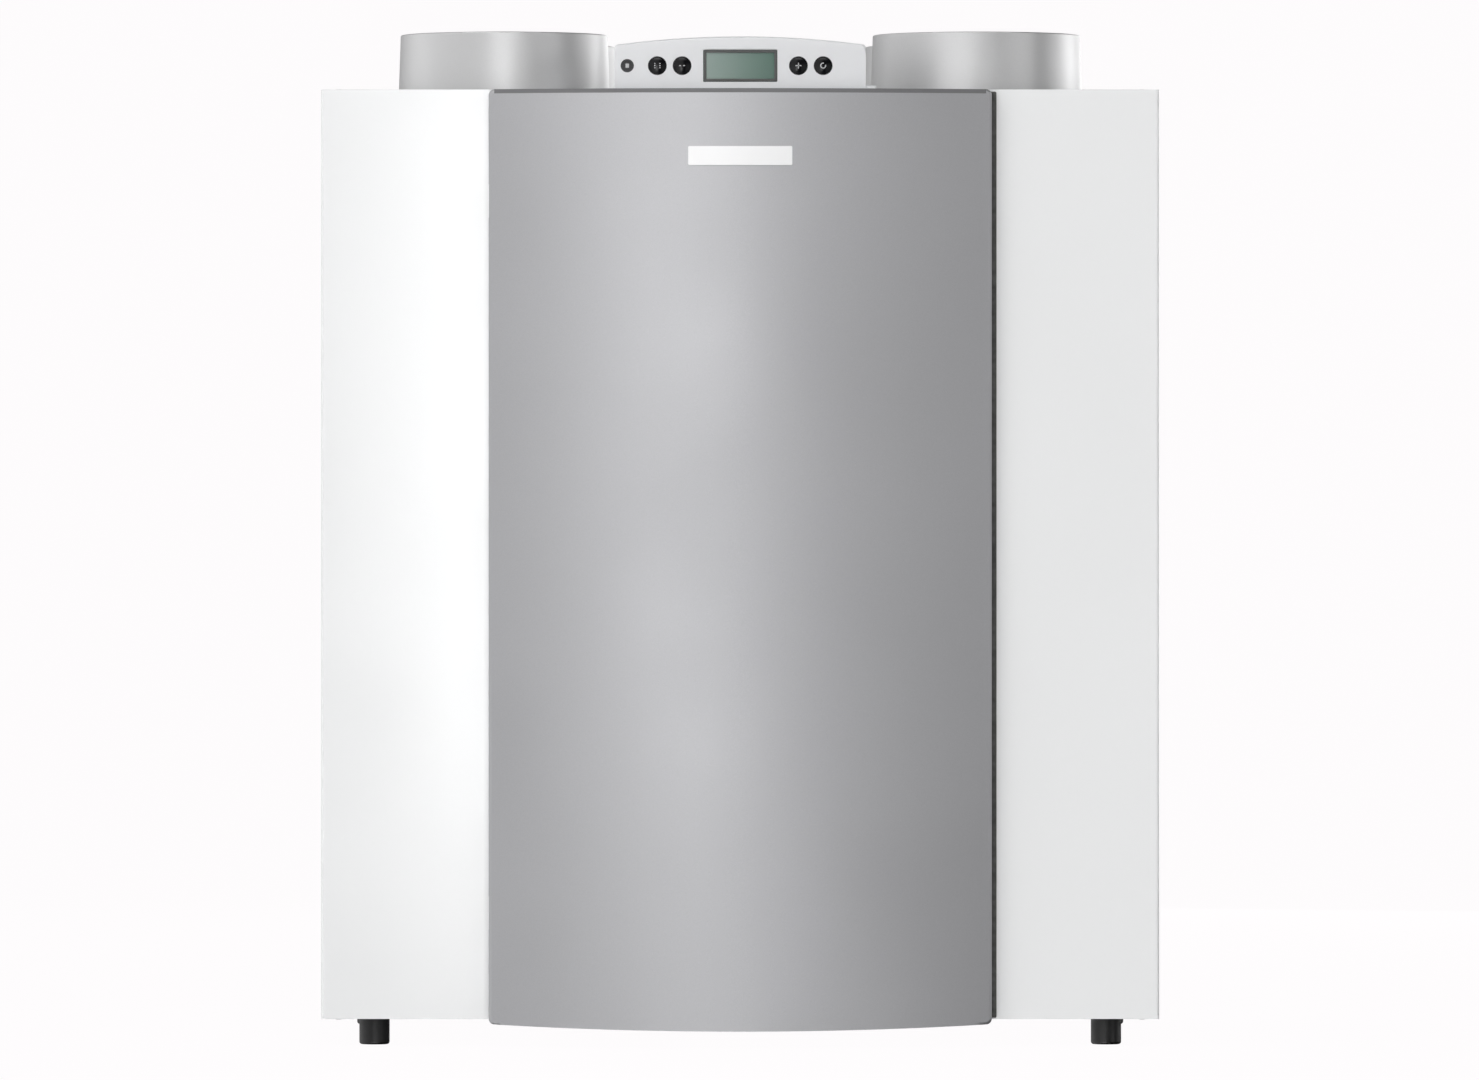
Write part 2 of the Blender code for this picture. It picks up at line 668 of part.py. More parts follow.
def name_badge():
    """Blank plate that follows the door's bow."""
    outer = bow_arc(BADGE_WIDTH / 2, -FIT_GAP - BADGE_THICKNESS, 6)
    inner = bow_arc(BADGE_WIDTH / 2, -FIT_GAP, 6)
    middle = CASE_TOP - BADGE_DROP
    low, high = middle - BADGE_HEIGHT / 2, middle + BADGE_HEIGHT / 2
    return prism("name_badge", [outer + inner[::-1]], "plan", low, high, ZINC_STEEL)


def hinge_pin(word, level):
    """Pin with the lug that holds it inside the door. The pin drops through the bracket's ear."""
    lug_low = level + EAR_THICKNESS / 2 + FIT_GAP
    lug_high = lug_low + LUG_HEIGHT
    left = -DOOR_HALF_WIDTH + DOOR_WALL + FIT_GAP
    lug = block(
        f"door_hinge_pin_{word}",
        (left, HINGE_Y - LUG_HALF_DEPTH, lug_low),
        (HINGE_X + LUG_REACH, HINGE_Y + LUG_HALF_DEPTH, lug_high),
        ZINC_STEEL,
    )
    low = level - 1.5 * EAR_THICKNESS
    high = (lug_low + lug_high) / 2
    pin = rod(f"pin_{word}", HINGE_PIN_RADIUS, low, high, (HINGE_X, HINGE_Y, 0), steps=20)
    return join(lug, pin)


def hinge_bracket(word, level):
    """Leaf on the casing with an ear that takes the door's pin."""
    back = CASE_FRONT - FIT_GAP
    leaf = block(
        f"hinge_bracket_{word}",
        (HINGE_X - EAR_HALF_WIDTH, back - LEAF_THICKNESS, level - HINGE_HEIGHT / 2),
        (HINGE_X + LEAF_REACH, back, level + HINGE_HEIGHT / 2),
        ZINC_STEEL,
    )
    ear = block(
        f"ear_{word}",
        (HINGE_X - EAR_HALF_WIDTH, HINGE_Y - EAR_HALF_WIDTH, level - EAR_THICKNESS / 2),
        (HINGE_X + EAR_HALF_WIDTH, back - LEAF_THICKNESS / 3, level + EAR_THICKNESS / 2),
    )
    join(leaf, ear)
    radius = HINGE_PIN_RADIUS + HINGE_PIN_PLAY
    low, high = level - CUT_OVERLAP, level + CUT_OVERLAP
    hole = rod(f"ear_hole_{word}", radius, low, high, (HINGE_X, HINGE_Y, 0), steps=20)
    return cut(leaf, hole)


def magnet_catch(word, level):
    width, depth, height = CATCH_SIZE
    right = DOOR_HALF_WIDTH - DOOR_WALL - LOOSE_GAP
    back = CASE_FRONT - FIT_GAP
    return block(
        f"magnet_catch_{word}",
        (right - width, back - depth, level - height / 2),
        (right, back, level + height / 2),
        DARK_PLASTIC,
    )


def door_hardware():
    for word, level in hinge_levels().items():
        hinge_pin(word, level)
        hinge_bracket(word, level)
        magnet_catch(word, level)


# ---------------------------------------------------------------- control panel
def control_outline(inset, base):
    """Front view of the control housing: upright sides and a shallow arched top."""
    half = CONTROL_HALF - inset
    side_top = CASE_TOP + CONTROL_SIDE_HEIGHT - inset
    corner = CONTROL_CORNER - inset * 0.5
    points = [(-half, base), (half, base)]
    points += arc((half - corner, side_top - corner), corner, 0, math.radians(80), 3)
    reach = half - corner
    for i in range(1, 16):
        x = reach - 2 * reach * i / 16
        points.append((x, side_top + CONTROL_RISE * (1 - (x / reach) ** 2)))
    points += arc((-half + corner, side_top - corner), corner, math.radians(100), math.pi, 3)
    return points


def key_places():
    """Name and x of each push button."""
    return {
        "menu": -BUTTON_OUTER_X,
        "minus": -BUTTON_INNER_X,
        "plus": BUTTON_INNER_X,
        "reset": BUTTON_OUTER_X,
    }


def control_housing():
    front, back = CONTROL_FRONT, CONTROL_FRONT + CONTROL_DEPTH
    shell = prism(
        "control_housing", [control_outline(0, CONTROL_BASE)], "front", front, back, CONTROL_WHITE
    )
    width, depth, height = CONTROL_TAB
    tab = block(
        "control_tab",
        (CONTROL_HALF - CONTROL_WALL, front + CONTROL_WALL / 2, CONTROL_BASE),
        (CONTROL_HALF + width, front + depth, CONTROL_BASE + height),
    )
    join(shell, tab)
    hollow = prism(
        "control_hollow",
        [control_outline(CONTROL_WALL, CONTROL_BASE - CUT_OVERLAP)],
        "front",
        front + CONTROL_WALL,
        back - CONTROL_WALL,
    )
    cut(shell, hollow)
    through = (front - CUT_OVERLAP, front + CUT_OVERLAP)
    for word, x in key_places().items():
        cut(shell, rod(f"hole_{word}", BUTTON_RADIUS + BUTTON_PLAY, *through, (x, 0, BUTTON_Z), "Y"))
    cut(shell, rod("socket_hole", SOCKET_RADIUS, *through, (SOCKET_X, 0, BUTTON_Z), "Y"))
    size = (LCD_SIZE[0], 2 * CUT_OVERLAP, LCD_SIZE[1])
    return cut(shell, block_at("lcd_hole", (0, front, BUTTON_Z), size))


def button(word, x):
    """Round key with a shallow dome and a collar that stays behind the panel."""
    inside = CONTROL_WALL + BUTTON_TRAVEL + FIT_GAP
    profile = [
        (0, BUTTON_STANDOUT),
        (BUTTON_RADIUS * 0.55, BUTTON_STANDOUT - 0.0002),
        (BUTTON_RADIUS * 0.9, BUTTON_STANDOUT - 0.0006),
        (BUTTON_RADIUS, BUTTON_STANDOUT - 0.0011),
        (BUTTON_RADIUS, -CONTROL_WALL - FIT_GAP),
        (BUTTON_RADIUS + BUTTON_COLLAR, -CONTROL_WALL - FIT_GAP),
        (BUTTON_RADIUS + BUTTON_COLLAR, -inside),
        (BUTTON_STEM_RADIUS, -inside),
        (BUTTON_STEM_RADIUS, -inside - BUTTON_STEM_LENGTH),
        (0, -inside - BUTTON_STEM_LENGTH),
    ]
    key = turned(f"button_{word}", profile, (x, CONTROL_FRONT, BUTTON_Z), colour=BLACK_KEY, steps=20)
    key.rotation_euler = (math.pi / 2, 0, 0)
    return key


def service_socket():
    """Round socket for a service plug, with a recessed contact block."""
    radius = SOCKET_RADIUS - FIT_GAP
    core, recess, lip = SOCKET_CORE_RADIUS, SOCKET_RECESS, SOCKET_LIP
    profile = [
        (0, -recess / 2),
        (core, -recess / 2),
        (core, -recess),
        (radius - 2 * lip, -recess),
        (radius - lip, lip),
        (radius, lip / 2),
        (radius, -SOCKET_LENGTH),
        (0, -SOCKET_LENGTH),
    ]
    place = (SOCKET_X, CONTROL_FRONT, BUTTON_Z)
    socket = turned("service_socket", profile, place, colour=DARK_PLASTIC, steps=20)
    socket.rotation_euler = (math.pi / 2, 0, 0)
    return socket


def display():
    """Bezel, green glass and the board behind the keys."""
    width, height = LCD_SIZE
    half_w, half_h = width / 2 - FIT_GAP, height / 2 - FIT_GAP
    front = CONTROL_FRONT
    bezel = block(
        "lcd_bezel",
        (-half_w, front - LCD_BEZEL_STANDOUT, BUTTON_Z - half_h),
        (half_w, front + LCD_BEZEL_DEPTH, BUTTON_Z + half_h),
        DARK_PLASTIC,
    )
    window_size = (width - 2 * LCD_FRAME, 2 * CUT_OVERLAP, height - 2 * LCD_FRAME)
    window = block_at("bezel_window", (0, front, BUTTON_Z), window_size)
    cut(bezel, window)
    glass_w, glass_h = half_w - LCD_FRAME, half_h - LCD_FRAME
    block(
        "lcd_glass",
        (-glass_w, front + LCD_GLASS_RECESS, BUTTON_Z - glass_h),
        (glass_w, front + LCD_BEZEL_DEPTH, BUTTON_Z + glass_h),
        LCD_GREEN,
    )
    board_front = front + CONTROL_WALL + BUTTON_TRAVEL + BOARD_CLEARANCE
    half = CONTROL_HALF - BOARD_SIDE_GAP
    block(
        "control_board",
        (-half, board_front, BUTTON_Z - BOARD_BELOW_KEYS),
        (half, board_front + BOARD_THICKNESS, BUTTON_Z + BOARD_ABOVE_KEYS),
        BOARD_GREEN,
    )


def control_panel():
    control_housing()
    for word, x in key_places().items():
        button(word, x)
    service_socket()
    display()


# ---------------------------------------------------------------- foam body and service cover
def core_outline(inset=0.0):
    """Six-sided section of the heat exchanger, moved in by inset."""
    half = CORE_HALF_WIDTH - inset
    slope = math.tan(CORE_ANGLE)
    drop = inset / math.cos(CORE_ANGLE)
    apex = CORE_APEX - drop
    shoulder = apex - half * slope
    return [
        (0, CORE_Z + apex),
        (-half, CORE_Z + shoulder),
        (-half, CORE_Z - shoulder),
        (0, CORE_Z - apex),
        (half, CORE_Z - shoulder),
        (half, CORE_Z + shoulder),
    ]


def chamber_outline():
    """The foam's cavity: four air chambers that meet the exchanger's four sloping faces."""
    seat = CORE_HALF_WIDTH + FIT_GAP
    tip = CORE_Z + CORE_APEX + 2 * FIT_GAP
    base = CORE_Z - CORE_APEX - 2 * FIT_GAP
    notch = DIVIDER_HALF * math.tan(CORE_ANGLE)
    ledge = FOAM_TOP - ELECTRONICS_DEPTH - ELECTRONICS_WALL
    inner = ELECTRONICS_HALF_WIDTH + ELECTRONICS_WALL
    wall_top = CORE_Z + CORE_SHOULDER
    wall_bottom = CORE_Z - CORE_SHOULDER
    left = [
        (0, tip),
        (-DIVIDER_HALF, tip - notch),
        (-DIVIDER_HALF, ledge - DIVIDER_HALF * 0.4),
        (-inner, ledge),
        (-inner, CHAMBER_TOP),
        (-CHAMBER_HALF, CHAMBER_TOP),
        (-CHAMBER_HALF, wall_top),
        (-seat, wall_top),
        (-seat, wall_bottom),
        (-CHAMBER_HALF, wall_bottom),
        (-CHAMBER_HALF, CHAMBER_FLOOR),
        (-DIVIDER_HALF, CHAMBER_FLOOR),
        (-DIVIDER_HALF, base + notch),
        (0, base),
    ]
    right = [(-x, z) for x, z in reversed(left[1:-1])]
    return left + right


def foam_outline():
    """Outer edge of the front foam body, with the electronics bay open at the top."""
    bay = ELECTRONICS_HALF_WIDTH + FOAM_GAP
    bay_floor = FOAM_TOP - ELECTRONICS_DEPTH
    return [
        (-FOAM_HALF, FOAM_BOTTOM),
        (FOAM_HALF, FOAM_BOTTOM),
        (FOAM_HALF, FOAM_TOP),
        (bay, FOAM_TOP),
        (bay, bay_floor),
        (-bay, bay_floor),
        (-bay, FOAM_TOP),
        (-FOAM_HALF, FOAM_TOP),
    ]


def front_foam_body():
    back = FOAM_SPLIT - FIT_GAP
    outlines = [foam_outline(), chamber_outline()]
    body = prism("front_foam_body", outlines, "front", FOAM_FRONT, back, GREY_FOAM)
    tray_slot = block(
        "tray_slot",
        (-2 * DIVIDER_HALF, FOAM_FRONT - CUT_OVERLAP, CHAMBER_FLOOR - FOAM_GAP / 2),
        (2 * DIVIDER_HALF, back - TRAY_END_GAP, CHAMBER_FLOOR + TRAY_HEIGHT + LOOSE_GAP),
    )
    cut(body, tray_slot)
    for word, side in SIDES.items():
        centre = (side * SPIGOT_X, SPIGOT_FRONT_Y, 0)
        low, high = CHAMBER_TOP - CUT_OVERLAP, FOAM_TOP + CUT_OVERLAP
        cut(body, rod(f"inlet_bore_{word}", SPIGOT_BORE, low, high, centre))
    low, high = FOAM_BOTTOM - CUT_OVERLAP, CHAMBER_FLOOR + CUT_OVERLAP
    drain_hole = rod("foam_drain_hole", DRAIN_RADIUS + LOOSE_GAP, low, high, (DRAIN_X, DRAIN_Y, 0))
    return cut(body, drain_hole, bypass_motor_pocket())


def rear_foam_body():
    """Block with a fan pocket and a riser to the rear spigot on each side."""
    body = block(
        "rear_foam_body",
        (-FOAM_HALF, FOAM_SPLIT, FOAM_BOTTOM),
        (FOAM_HALF, FOAM_BACK, FOAM_TOP),
        GREY_FOAM,
    )
    for word, side in SIDES.items():
        fan = (side * FAN_X, 0, FAN_Z)
        radius = FAN_OUTER_RADIUS + LOOSE_GAP
        pocket_back = FAN_FRONT + FAN_DEPTH + MOTOR_FLANGE_THICKNESS + LOOSE_GAP
        pocket_front = FOAM_SPLIT - CUT_OVERLAP
        cut(body, rod(f"fan_pocket_{word}", radius, pocket_front, pocket_back, fan, "Y"))
        motor_back = pocket_back + MOTOR_CAN_LENGTH + LOOSE_GAP
        motor_radius = MOTOR_CAN_RADIUS + LOOSE_GAP
        motor_front = pocket_back - CUT_OVERLAP
        cut(body, rod(f"motor_pocket_{word}", motor_radius, motor_front, motor_back, fan, "Y"))
        reach = FAN_OUTLET_WIDTH / 2 + LOOSE_GAP
        outlet_top = FAN_Z + FAN_OUTLET_HEIGHT
        outlet = block(
            f"outlet_slot_{word}",
            (side * SPIGOT_REAR_X - reach, pocket_front, FAN_Z),
            (side * SPIGOT_REAR_X + reach, pocket_back, outlet_top + LOOSE_GAP),
        )
        riser_box = block(
            f"riser_box_{word}",
            (side * SPIGOT_REAR_X - SPIGOT_BORE, FOAM_SPLIT + RISER_FRONT_WALL, outlet_top - RISER_LAP),
            (side * SPIGOT_REAR_X + SPIGOT_BORE, SPIGOT_REAR_Y + SPIGOT_BORE, CHAMBER_TOP),
        )
        centre = (side * SPIGOT_REAR_X, SPIGOT_REAR_Y, 0)
        low, high = CHAMBER_TOP - CUT_OVERLAP, FOAM_TOP + CUT_OVERLAP
        bore = rod(f"outlet_bore_{word}", SPIGOT_BORE - FIT_GAP, low, high, centre)
        cut(body, outlet, riser_box, bore)
    return body


def filter_frame_of(side):
    """Middle and turn of the filter on one side, seen from the front."""
    out = FILTER_OFFSET + FILTER_THICKNESS / 2
    x = CORE_HALF_WIDTH / 2 + out * math.sin(CORE_ANGLE)
    z = CORE_Z + (CORE_SHOULDER + CORE_APEX) / 2 + out * math.cos(CORE_ANGLE)
    return side * x, z, side * CORE_ANGLE


def filter_slot(name, word):
    """Cutter that runs right through the cover and its lining."""
    x, z, turn = filter_frame_of(SIDES[word])
    long_side = FILTER_LENGTH + 2 * CAP_SLOT_PLAY
    short_side = FILTER_THICKNESS + 2 * CAP_SLOT_PLAY
    depth = 2 * (SHEET + COVER_FOAM + CUT_OVERLAP)
    size = (long_side, depth, short_side)
    return block_at(f"{name}_{word}", (x, CASE_FRONT, z), size, turn=(0, turn, 0))


def service_cover():
    """Inner steel cover behind the door, with a slot for each filter, and its foam lining."""
    low, high = CASE_BOTTOM + SHEET + LOOSE_GAP, CASE_TOP - SHEET - LOOSE_GAP
    cover = block(
        "service_cover",
        (-SERVICE_HALF, CASE_FRONT + FIT_GAP, low),
        (SERVICE_HALF, CASE_FRONT + FIT_GAP + SHEET, high),
        WHITE_STEEL,
    )
    lining_front = CASE_FRONT + SHEET + 2 * FIT_GAP
    lining = block(
        "cover_insulation",
        (-SERVICE_HALF + COVER_FOAM_INSET, lining_front, low + COVER_FOAM_INSET),
        (SERVICE_HALF - COVER_FOAM_INSET, lining_front + COVER_FOAM, high - COVER_FOAM_INSET),
        GREY_FOAM,
    )
    for word in SIDES:
        cut(cover, filter_slot("cover_slot", word))
        cut(lining, filter_slot("lining_slot", word))


# ---------------------------------------------------------------- heat exchanger and bypass
def exchanger_core():
    """Stack of plates: a recessed block with the plates' edges standing out of it."""
    back = CORE_FRONT + CORE_DEPTH
    core = prism(
        "exchanger_core",
        [core_outline(CORE_RECESS)],
        "front",
        CORE_FRONT + CORE_PLATE / 4,
        back - CORE_PLATE / 4,
        PALE_PLASTIC,
    )
    pitch = (CORE_DEPTH - CORE_PLATE) / (CORE_PLATES - 1)
    for i in range(CORE_PLATES):
        low = CORE_FRONT + i * pitch
        join(core, prism(f"plate_{i}", [core_outline()], "front", low, low + CORE_PLATE))
    return core


def exchanger_strap():
    """Flat pull strap across the front of the exchanger, with a loop for the hand."""
    back = CORE_FRONT - FIT_GAP
    thick, reach = STRAP_THICKNESS, STRAP_LOOP_REACH
    loop = STRAP_HALF_LOOP
    flat = loop - reach - thick
    outer = [
        (-STRAP_HALF_LENGTH, back),
        (-STRAP_HALF_LENGTH, back - thick),
        (-loop, back - thick),
        (-flat, back - reach),
    ]
    inner = [(flat - thick / 2, back - reach + thick), (loop - thick / 2, back)]
    outline = outer + [(-x, y) for x, y in reversed(outer)]
    outline += inner[::-1] + [(-x, y) for x, y in inner]
    low, high = CORE_Z - STRAP_WIDTH / 2, CORE_Z + STRAP_WIDTH / 2
    return prism("exchanger_strap", [outline], "plan", low, high, DARK_PLASTIC)


def bypass_axis_point():
    """A point on the flap's axis, and the axis direction, in the bypass duct's mid plane."""
    middle_x = -CORE_HALF_WIDTH / 2 + BYPASS_INSET * math.sin(CORE_ANGLE)
    middle_z = CORE_Z + (CORE_SHOULDER + CORE_APEX) / 2 - BYPASS_INSET * math.cos(CORE_ANGLE)
    y = BYPASS_FRONT + BYPASS_DEPTH / 2
    return Vector((middle_x, y, middle_z)), Vector((math.cos(CORE_ANGLE), 0, math.sin(CORE_ANGLE)))


def bypass_motor_place():
    """Where the flap's shaft leaves the duct's left side."""
    point, along = bypass_axis_point()
    reach = (-CORE_HALF_WIDTH - point.x) / along.x
    return point + along * reach


def bypass_duct():
    """Six-sided duct behind the exchanger, open at its upper left and lower right faces."""
    back = BYPASS_FRONT + BYPASS_DEPTH
    outline = core_outline(FIT_GAP)
    duct = prism("bypass_duct", [outline], "front", BYPASS_FRONT, back, PALE_PLASTIC)
    inside = (BYPASS_FRONT + BYPASS_PANEL, back - BYPASS_PANEL)
    cut(duct, prism("bypass_hollow", [core_outline(BYPASS_WALL)], "front", *inside))
    face_x = CORE_HALF_WIDTH / 2
    face_z = (CORE_SHOULDER + CORE_APEX) / 2
    turn = (0, -CORE_ANGLE, 0)
    size = (BYPASS_MOUTH_LENGTH, BYPASS_DEPTH - 2 * BYPASS_MOUTH_RIM, 2 * CUT_OVERLAP)
    middle_y = (BYPASS_FRONT + back) / 2
    for word, sign in (("in", 1), ("out", -1)):
        centre = (-sign * face_x, middle_y, CORE_Z + sign * face_z)
        cut(duct, block_at(f"bypass_mouth_{word}", centre, size, turn=turn))
    exit_point = bypass_motor_place()
    hole = rod_along("shaft_hole", BYPASS_SHAFT_RADIUS + BYPASS_SHAFT_PLAY, exit_point, CUT_OVERLAP)
    return cut(duct, hole)


def rod_along(name, radius, centre, half_length, colour=None):
    """A rod along the bypass flap's axis direction."""
    bm = bmesh.new()
    bmesh.ops.create_cone(
        bm, cap_ends=True, segments=20, radius1=radius, radius2=radius, depth=2 * half_length
    )
    turn = (0, math.pi / 2 - CORE_ANGLE, 0)
    return from_bmesh(name, bm, colour, centre, turn)


def bypass_flap():
    """Balanced blade on a shaft that runs out to its motor."""
    point, along = bypass_axis_point()
    length = BYPASS_FLAP_LENGTH
    width, thickness = BYPASS_FLAP
    blade = block_at(
        "bypass_flap", point, (length, width, thickness), PALE_PLASTIC, (0, -CORE_ANGLE, 0)
    )
    left_end = (bypass_motor_place() - point).length + BYPASS_SHAFT_LAP
    right_end = length / 2 + BYPASS_SHAFT_LAP
    middle = point + along * (right_end - left_end) / 2
    shaft = rod_along("flap_shaft", BYPASS_SHAFT_RADIUS, middle, (left_end + right_end) / 2)
    return join(blade, shaft)


def bypass_motor():
    """Small damper motor beside the exchanger, in line with the flap's shaft."""
    exit_point = bypass_motor_place()
    along = bypass_axis_point()[1]
    length, depth, height = BYPASS_MOTOR
    right = -CORE_HALF_WIDTH - BYPASS_MOTOR_GAP
    body = block(
        "bypass_motor",
        (right - length, exit_point.y - depth / 2, exit_point.z - height / 2),
        (right, exit_point.y + depth / 2, exit_point.z + height / 2),
        DARK_PLASTIC,
    )
    reach = 3 * BYPASS_SHAFT_LAP
    start = exit_point + along * (reach / 2 - 2 * BYPASS_SHAFT_LAP)
    drive_hole = rod_along("drive_hole", BYPASS_SHAFT_RADIUS + BYPASS_SHAFT_PLAY, start, reach)
    return cut(body, drive_hole)


def bypass_motor_pocket():
    exit_point = bypass_motor_place()
    length, depth, height = BYPASS_MOTOR
    left = -CORE_HALF_WIDTH - BYPASS_MOTOR_GAP - length - LOOSE_GAP
    side = height / 2 + LOOSE_GAP
    return block(
        "motor_pocket",
        (left, exit_point.y - depth / 2 - LOOSE_GAP, exit_point.z - side),
        (-CORE_HALF_WIDTH + CORE_RECESS, FOAM_SPLIT + CUT_OVERLAP, exit_point.z + side),
    )


# ---------------------------------------------------------------- filters
def pleat_outline(length, depth, pleats, thickness):
    """Zigzag band along the first axis, as deep as the filter."""
    half = depth / 2 - thickness
    step = length / (2 * pleats)
    upper = [
        (-length / 2 + i * step, half if i % 2 else -half) for i in range(2 * pleats + 1)
    ]
    lower = [(across, up - thickness) for across, up in reversed(upper)]
    return upper + lower


def filter_cassette(word, side):
    """Frame, pleated cloth and the cap that closes the slot."""
    x, z, turn = filter_frame_of(side)
    front = FOAM_FRONT
    middle_y = front + FILTER_DEPTH / 2
    frame_size = (FILTER_LENGTH, FILTER_DEPTH, FILTER_THICKNESS)
    rotation = (0, turn, 0)
    frame = block_at(f"filter_frame_{word}", (x, middle_y, z), frame_size, PALE_PLASTIC, rotation)
    window = (FILTER_LENGTH - 2 * FILTER_FRAME, FILTER_DEPTH - 2 * FILTER_FRAME, 0.1)
    cut(frame, block_at(f"filter_window_{word}", (x, middle_y, z), window, turn=rotation))

    cloth_length = FILTER_DEPTH - 2 * FILTER_FRAME - 2 * LOOSE_GAP
    cloth_width = FILTER_LENGTH - 2 * FILTER_FRAME - 2 * FIT_GAP
    outline = pleat_outline(cloth_length, FILTER_THICKNESS - 0.004, FILTER_PLEATS, MEDIA_THICKNESS)
    media = prism(
        f"filter_media_{word}", [outline], "side", -cloth_width / 2, cloth_width / 2, FILTER_CLOTH
    )
    lying = Euler((0, turn, 0)).to_matrix() @ media.matrix_world.to_3x3()
    media.matrix_world = lying.to_4x4()
    media.location = (x, middle_y, z)

    plug_back = FOAM_FRONT - FIT_GAP
    plug_front = CASE_FRONT - FIT_GAP
    plug_size = (FILTER_LENGTH, plug_back - plug_front, FILTER_THICKNESS)
    plug_y = (plug_back + plug_front) / 2
    cap = block_at(f"filter_cap_{word}", (x, plug_y, z), plug_size, DARK_PLASTIC, rotation)
    flange_y = plug_front - CAP_FLANGE_THICKNESS / 2
    flange_size = (
        FILTER_LENGTH + 2 * CAP_FLANGE,
        CAP_FLANGE_THICKNESS,
        FILTER_THICKNESS + 2 * CAP_FLANGE,
    )
    flange = block_at(f"cap_flange_{word}", (x, flange_y, z), flange_size, turn=rotation)
    grip_length, grip_depth, grip_height = CAP_GRIP
    grip_y = plug_front - grip_depth / 2
    grip = block_at(
        f"cap_grip_{word}", (x, grip_y, z), (grip_length, grip_depth, grip_height), turn=rotation
    )
    join(cap, flange, grip)


# ---------------------------------------------------------------- fans
def scroll_outline(wall, lift):
    """Spiral casing with an upright outlet on its outer side, drawn for the right-hand fan."""
    inner, outer = FAN_INNER_RADIUS - wall, FAN_OUTER_RADIUS - wall
    outlet_left = FAN_OUTER_RADIUS - FAN_OUTLET_WIDTH + wall
    start = math.acos(outlet_left / inner)
    steps = 30
    points = []
    for i in range(steps + 1):
        angle = start + (math.tau - start) * i / steps
        radius = inner + (outer - inner) * i / steps
        points.append((radius * math.cos(angle), radius * math.sin(angle)))
    points.append((outer, FAN_OUTLET_HEIGHT + lift))
    points.append((outlet_left, FAN_OUTLET_HEIGHT + lift))
    return points


def fan_scroll(word, side):
    """Two-millimetre spiral casing, open at the inlet, the motor and the outlet."""
    front, back = FAN_FRONT, FAN_FRONT + FAN_DEPTH
    place = (side * FAN_X, 0, FAN_Z)
    outer = mirrored(scroll_outline(0.0, 0.0), -side)
    inner = mirrored(scroll_outline(FAN_WALL, CUT_OVERLAP), -side)
    scroll = prism(f"fan_scroll_{word}", [outer], "front", front, back, DARK_PLASTIC, place)
    hollow = prism(
        f"scroll_hollow_{word}", [inner], "front", front + FAN_WALL, back - FAN_WALL, None, place
    )
    lap = CUT_OVERLAP
    inlet = rod(f"inlet_{word}", FAN_INLET_RADIUS, front - lap, front + lap, place, "Y")
    motor_radius = STATOR_RADIUS + LOOSE_GAP
    motor_hole = rod(f"motor_hole_{word}", motor_radius, back - lap, back + lap, place, "Y")
    return cut(scroll, hollow, inlet, motor_hole)


def blade_wheel_outline():
    """Hub with backward-leaning blades, as one flat outline."""
    tip = IMPELLER_RADIUS - FIT_GAP
    rows = 3
    points = []
    for blade in range(IMPELLER_BLADES):
        base = math.tau * blade / IMPELLER_BLADES
        sides = []
        for sign in (-1, 1):
            edge = []
            for row in range(rows + 1):
                radius = HUB_RADIUS + (tip - HUB_RADIUS) * row / rows
                lean = IMPELLER_SWEEP * row / rows
                angle = base + lean + sign * BLADE_THICKNESS / (2 * radius)
                edge.append((radius * math.cos(angle), radius * math.sin(angle)))
            sides.append(edge)
        points += sides[0] + sides[1][::-1]
        for i in (1, 2):
            gap = math.tau / IMPELLER_BLADES
            angle = base + gap * i / 3
            points.append((HUB_RADIUS * math.cos(angle), HUB_RADIUS * math.sin(angle)))
    return points


def fan_impeller(word, side):
    """Blade wheel between a back disc and a front ring, with a cup over the motor's stator."""
    back = FAN_FRONT + FAN_DEPTH - FAN_WALL - IMPELLER_BACK_GAP
    front = back - IMPELLER_WIDTH
    place = (side * FAN_X, 0, FAN_Z)
    wheel = prism(
        f"fan_impeller_{word}",
        [mirrored(blade_wheel_outline(), side)],
        "front",
        front,
        back,
        DARK_PLASTIC,
        place,
    )
    disc_front, disc_back = back - IMPELLER_DISC, back + IMPELLER_DISC / 4
    disc = rod(f"disc_{word}", IMPELLER_RADIUS, disc_front, disc_back, place, "Y")
    half, inner = IMPELLER_DISC * 0.75, FAN_INLET_RADIUS + LOOSE_GAP
    ring = turned(
        f"ring_{word}",
        [
            (IMPELLER_RADIUS, half),
            (IMPELLER_RADIUS, -half),
            (inner, -half),
            (inner, half),
        ],
        (side * FAN_X, front + IMPELLER_DISC / 2, FAN_Z),
        "Y",
        closed=True,
    )
    bore_front, bore_back = front + HUB_FRONT_WALL, back + CUT_OVERLAP
    bore = rod(f"hub_bore_{word}", HUB_BORE, bore_front, bore_back, place, "Y")
    join(wheel, disc, ring)
    return cut(wheel, bore)


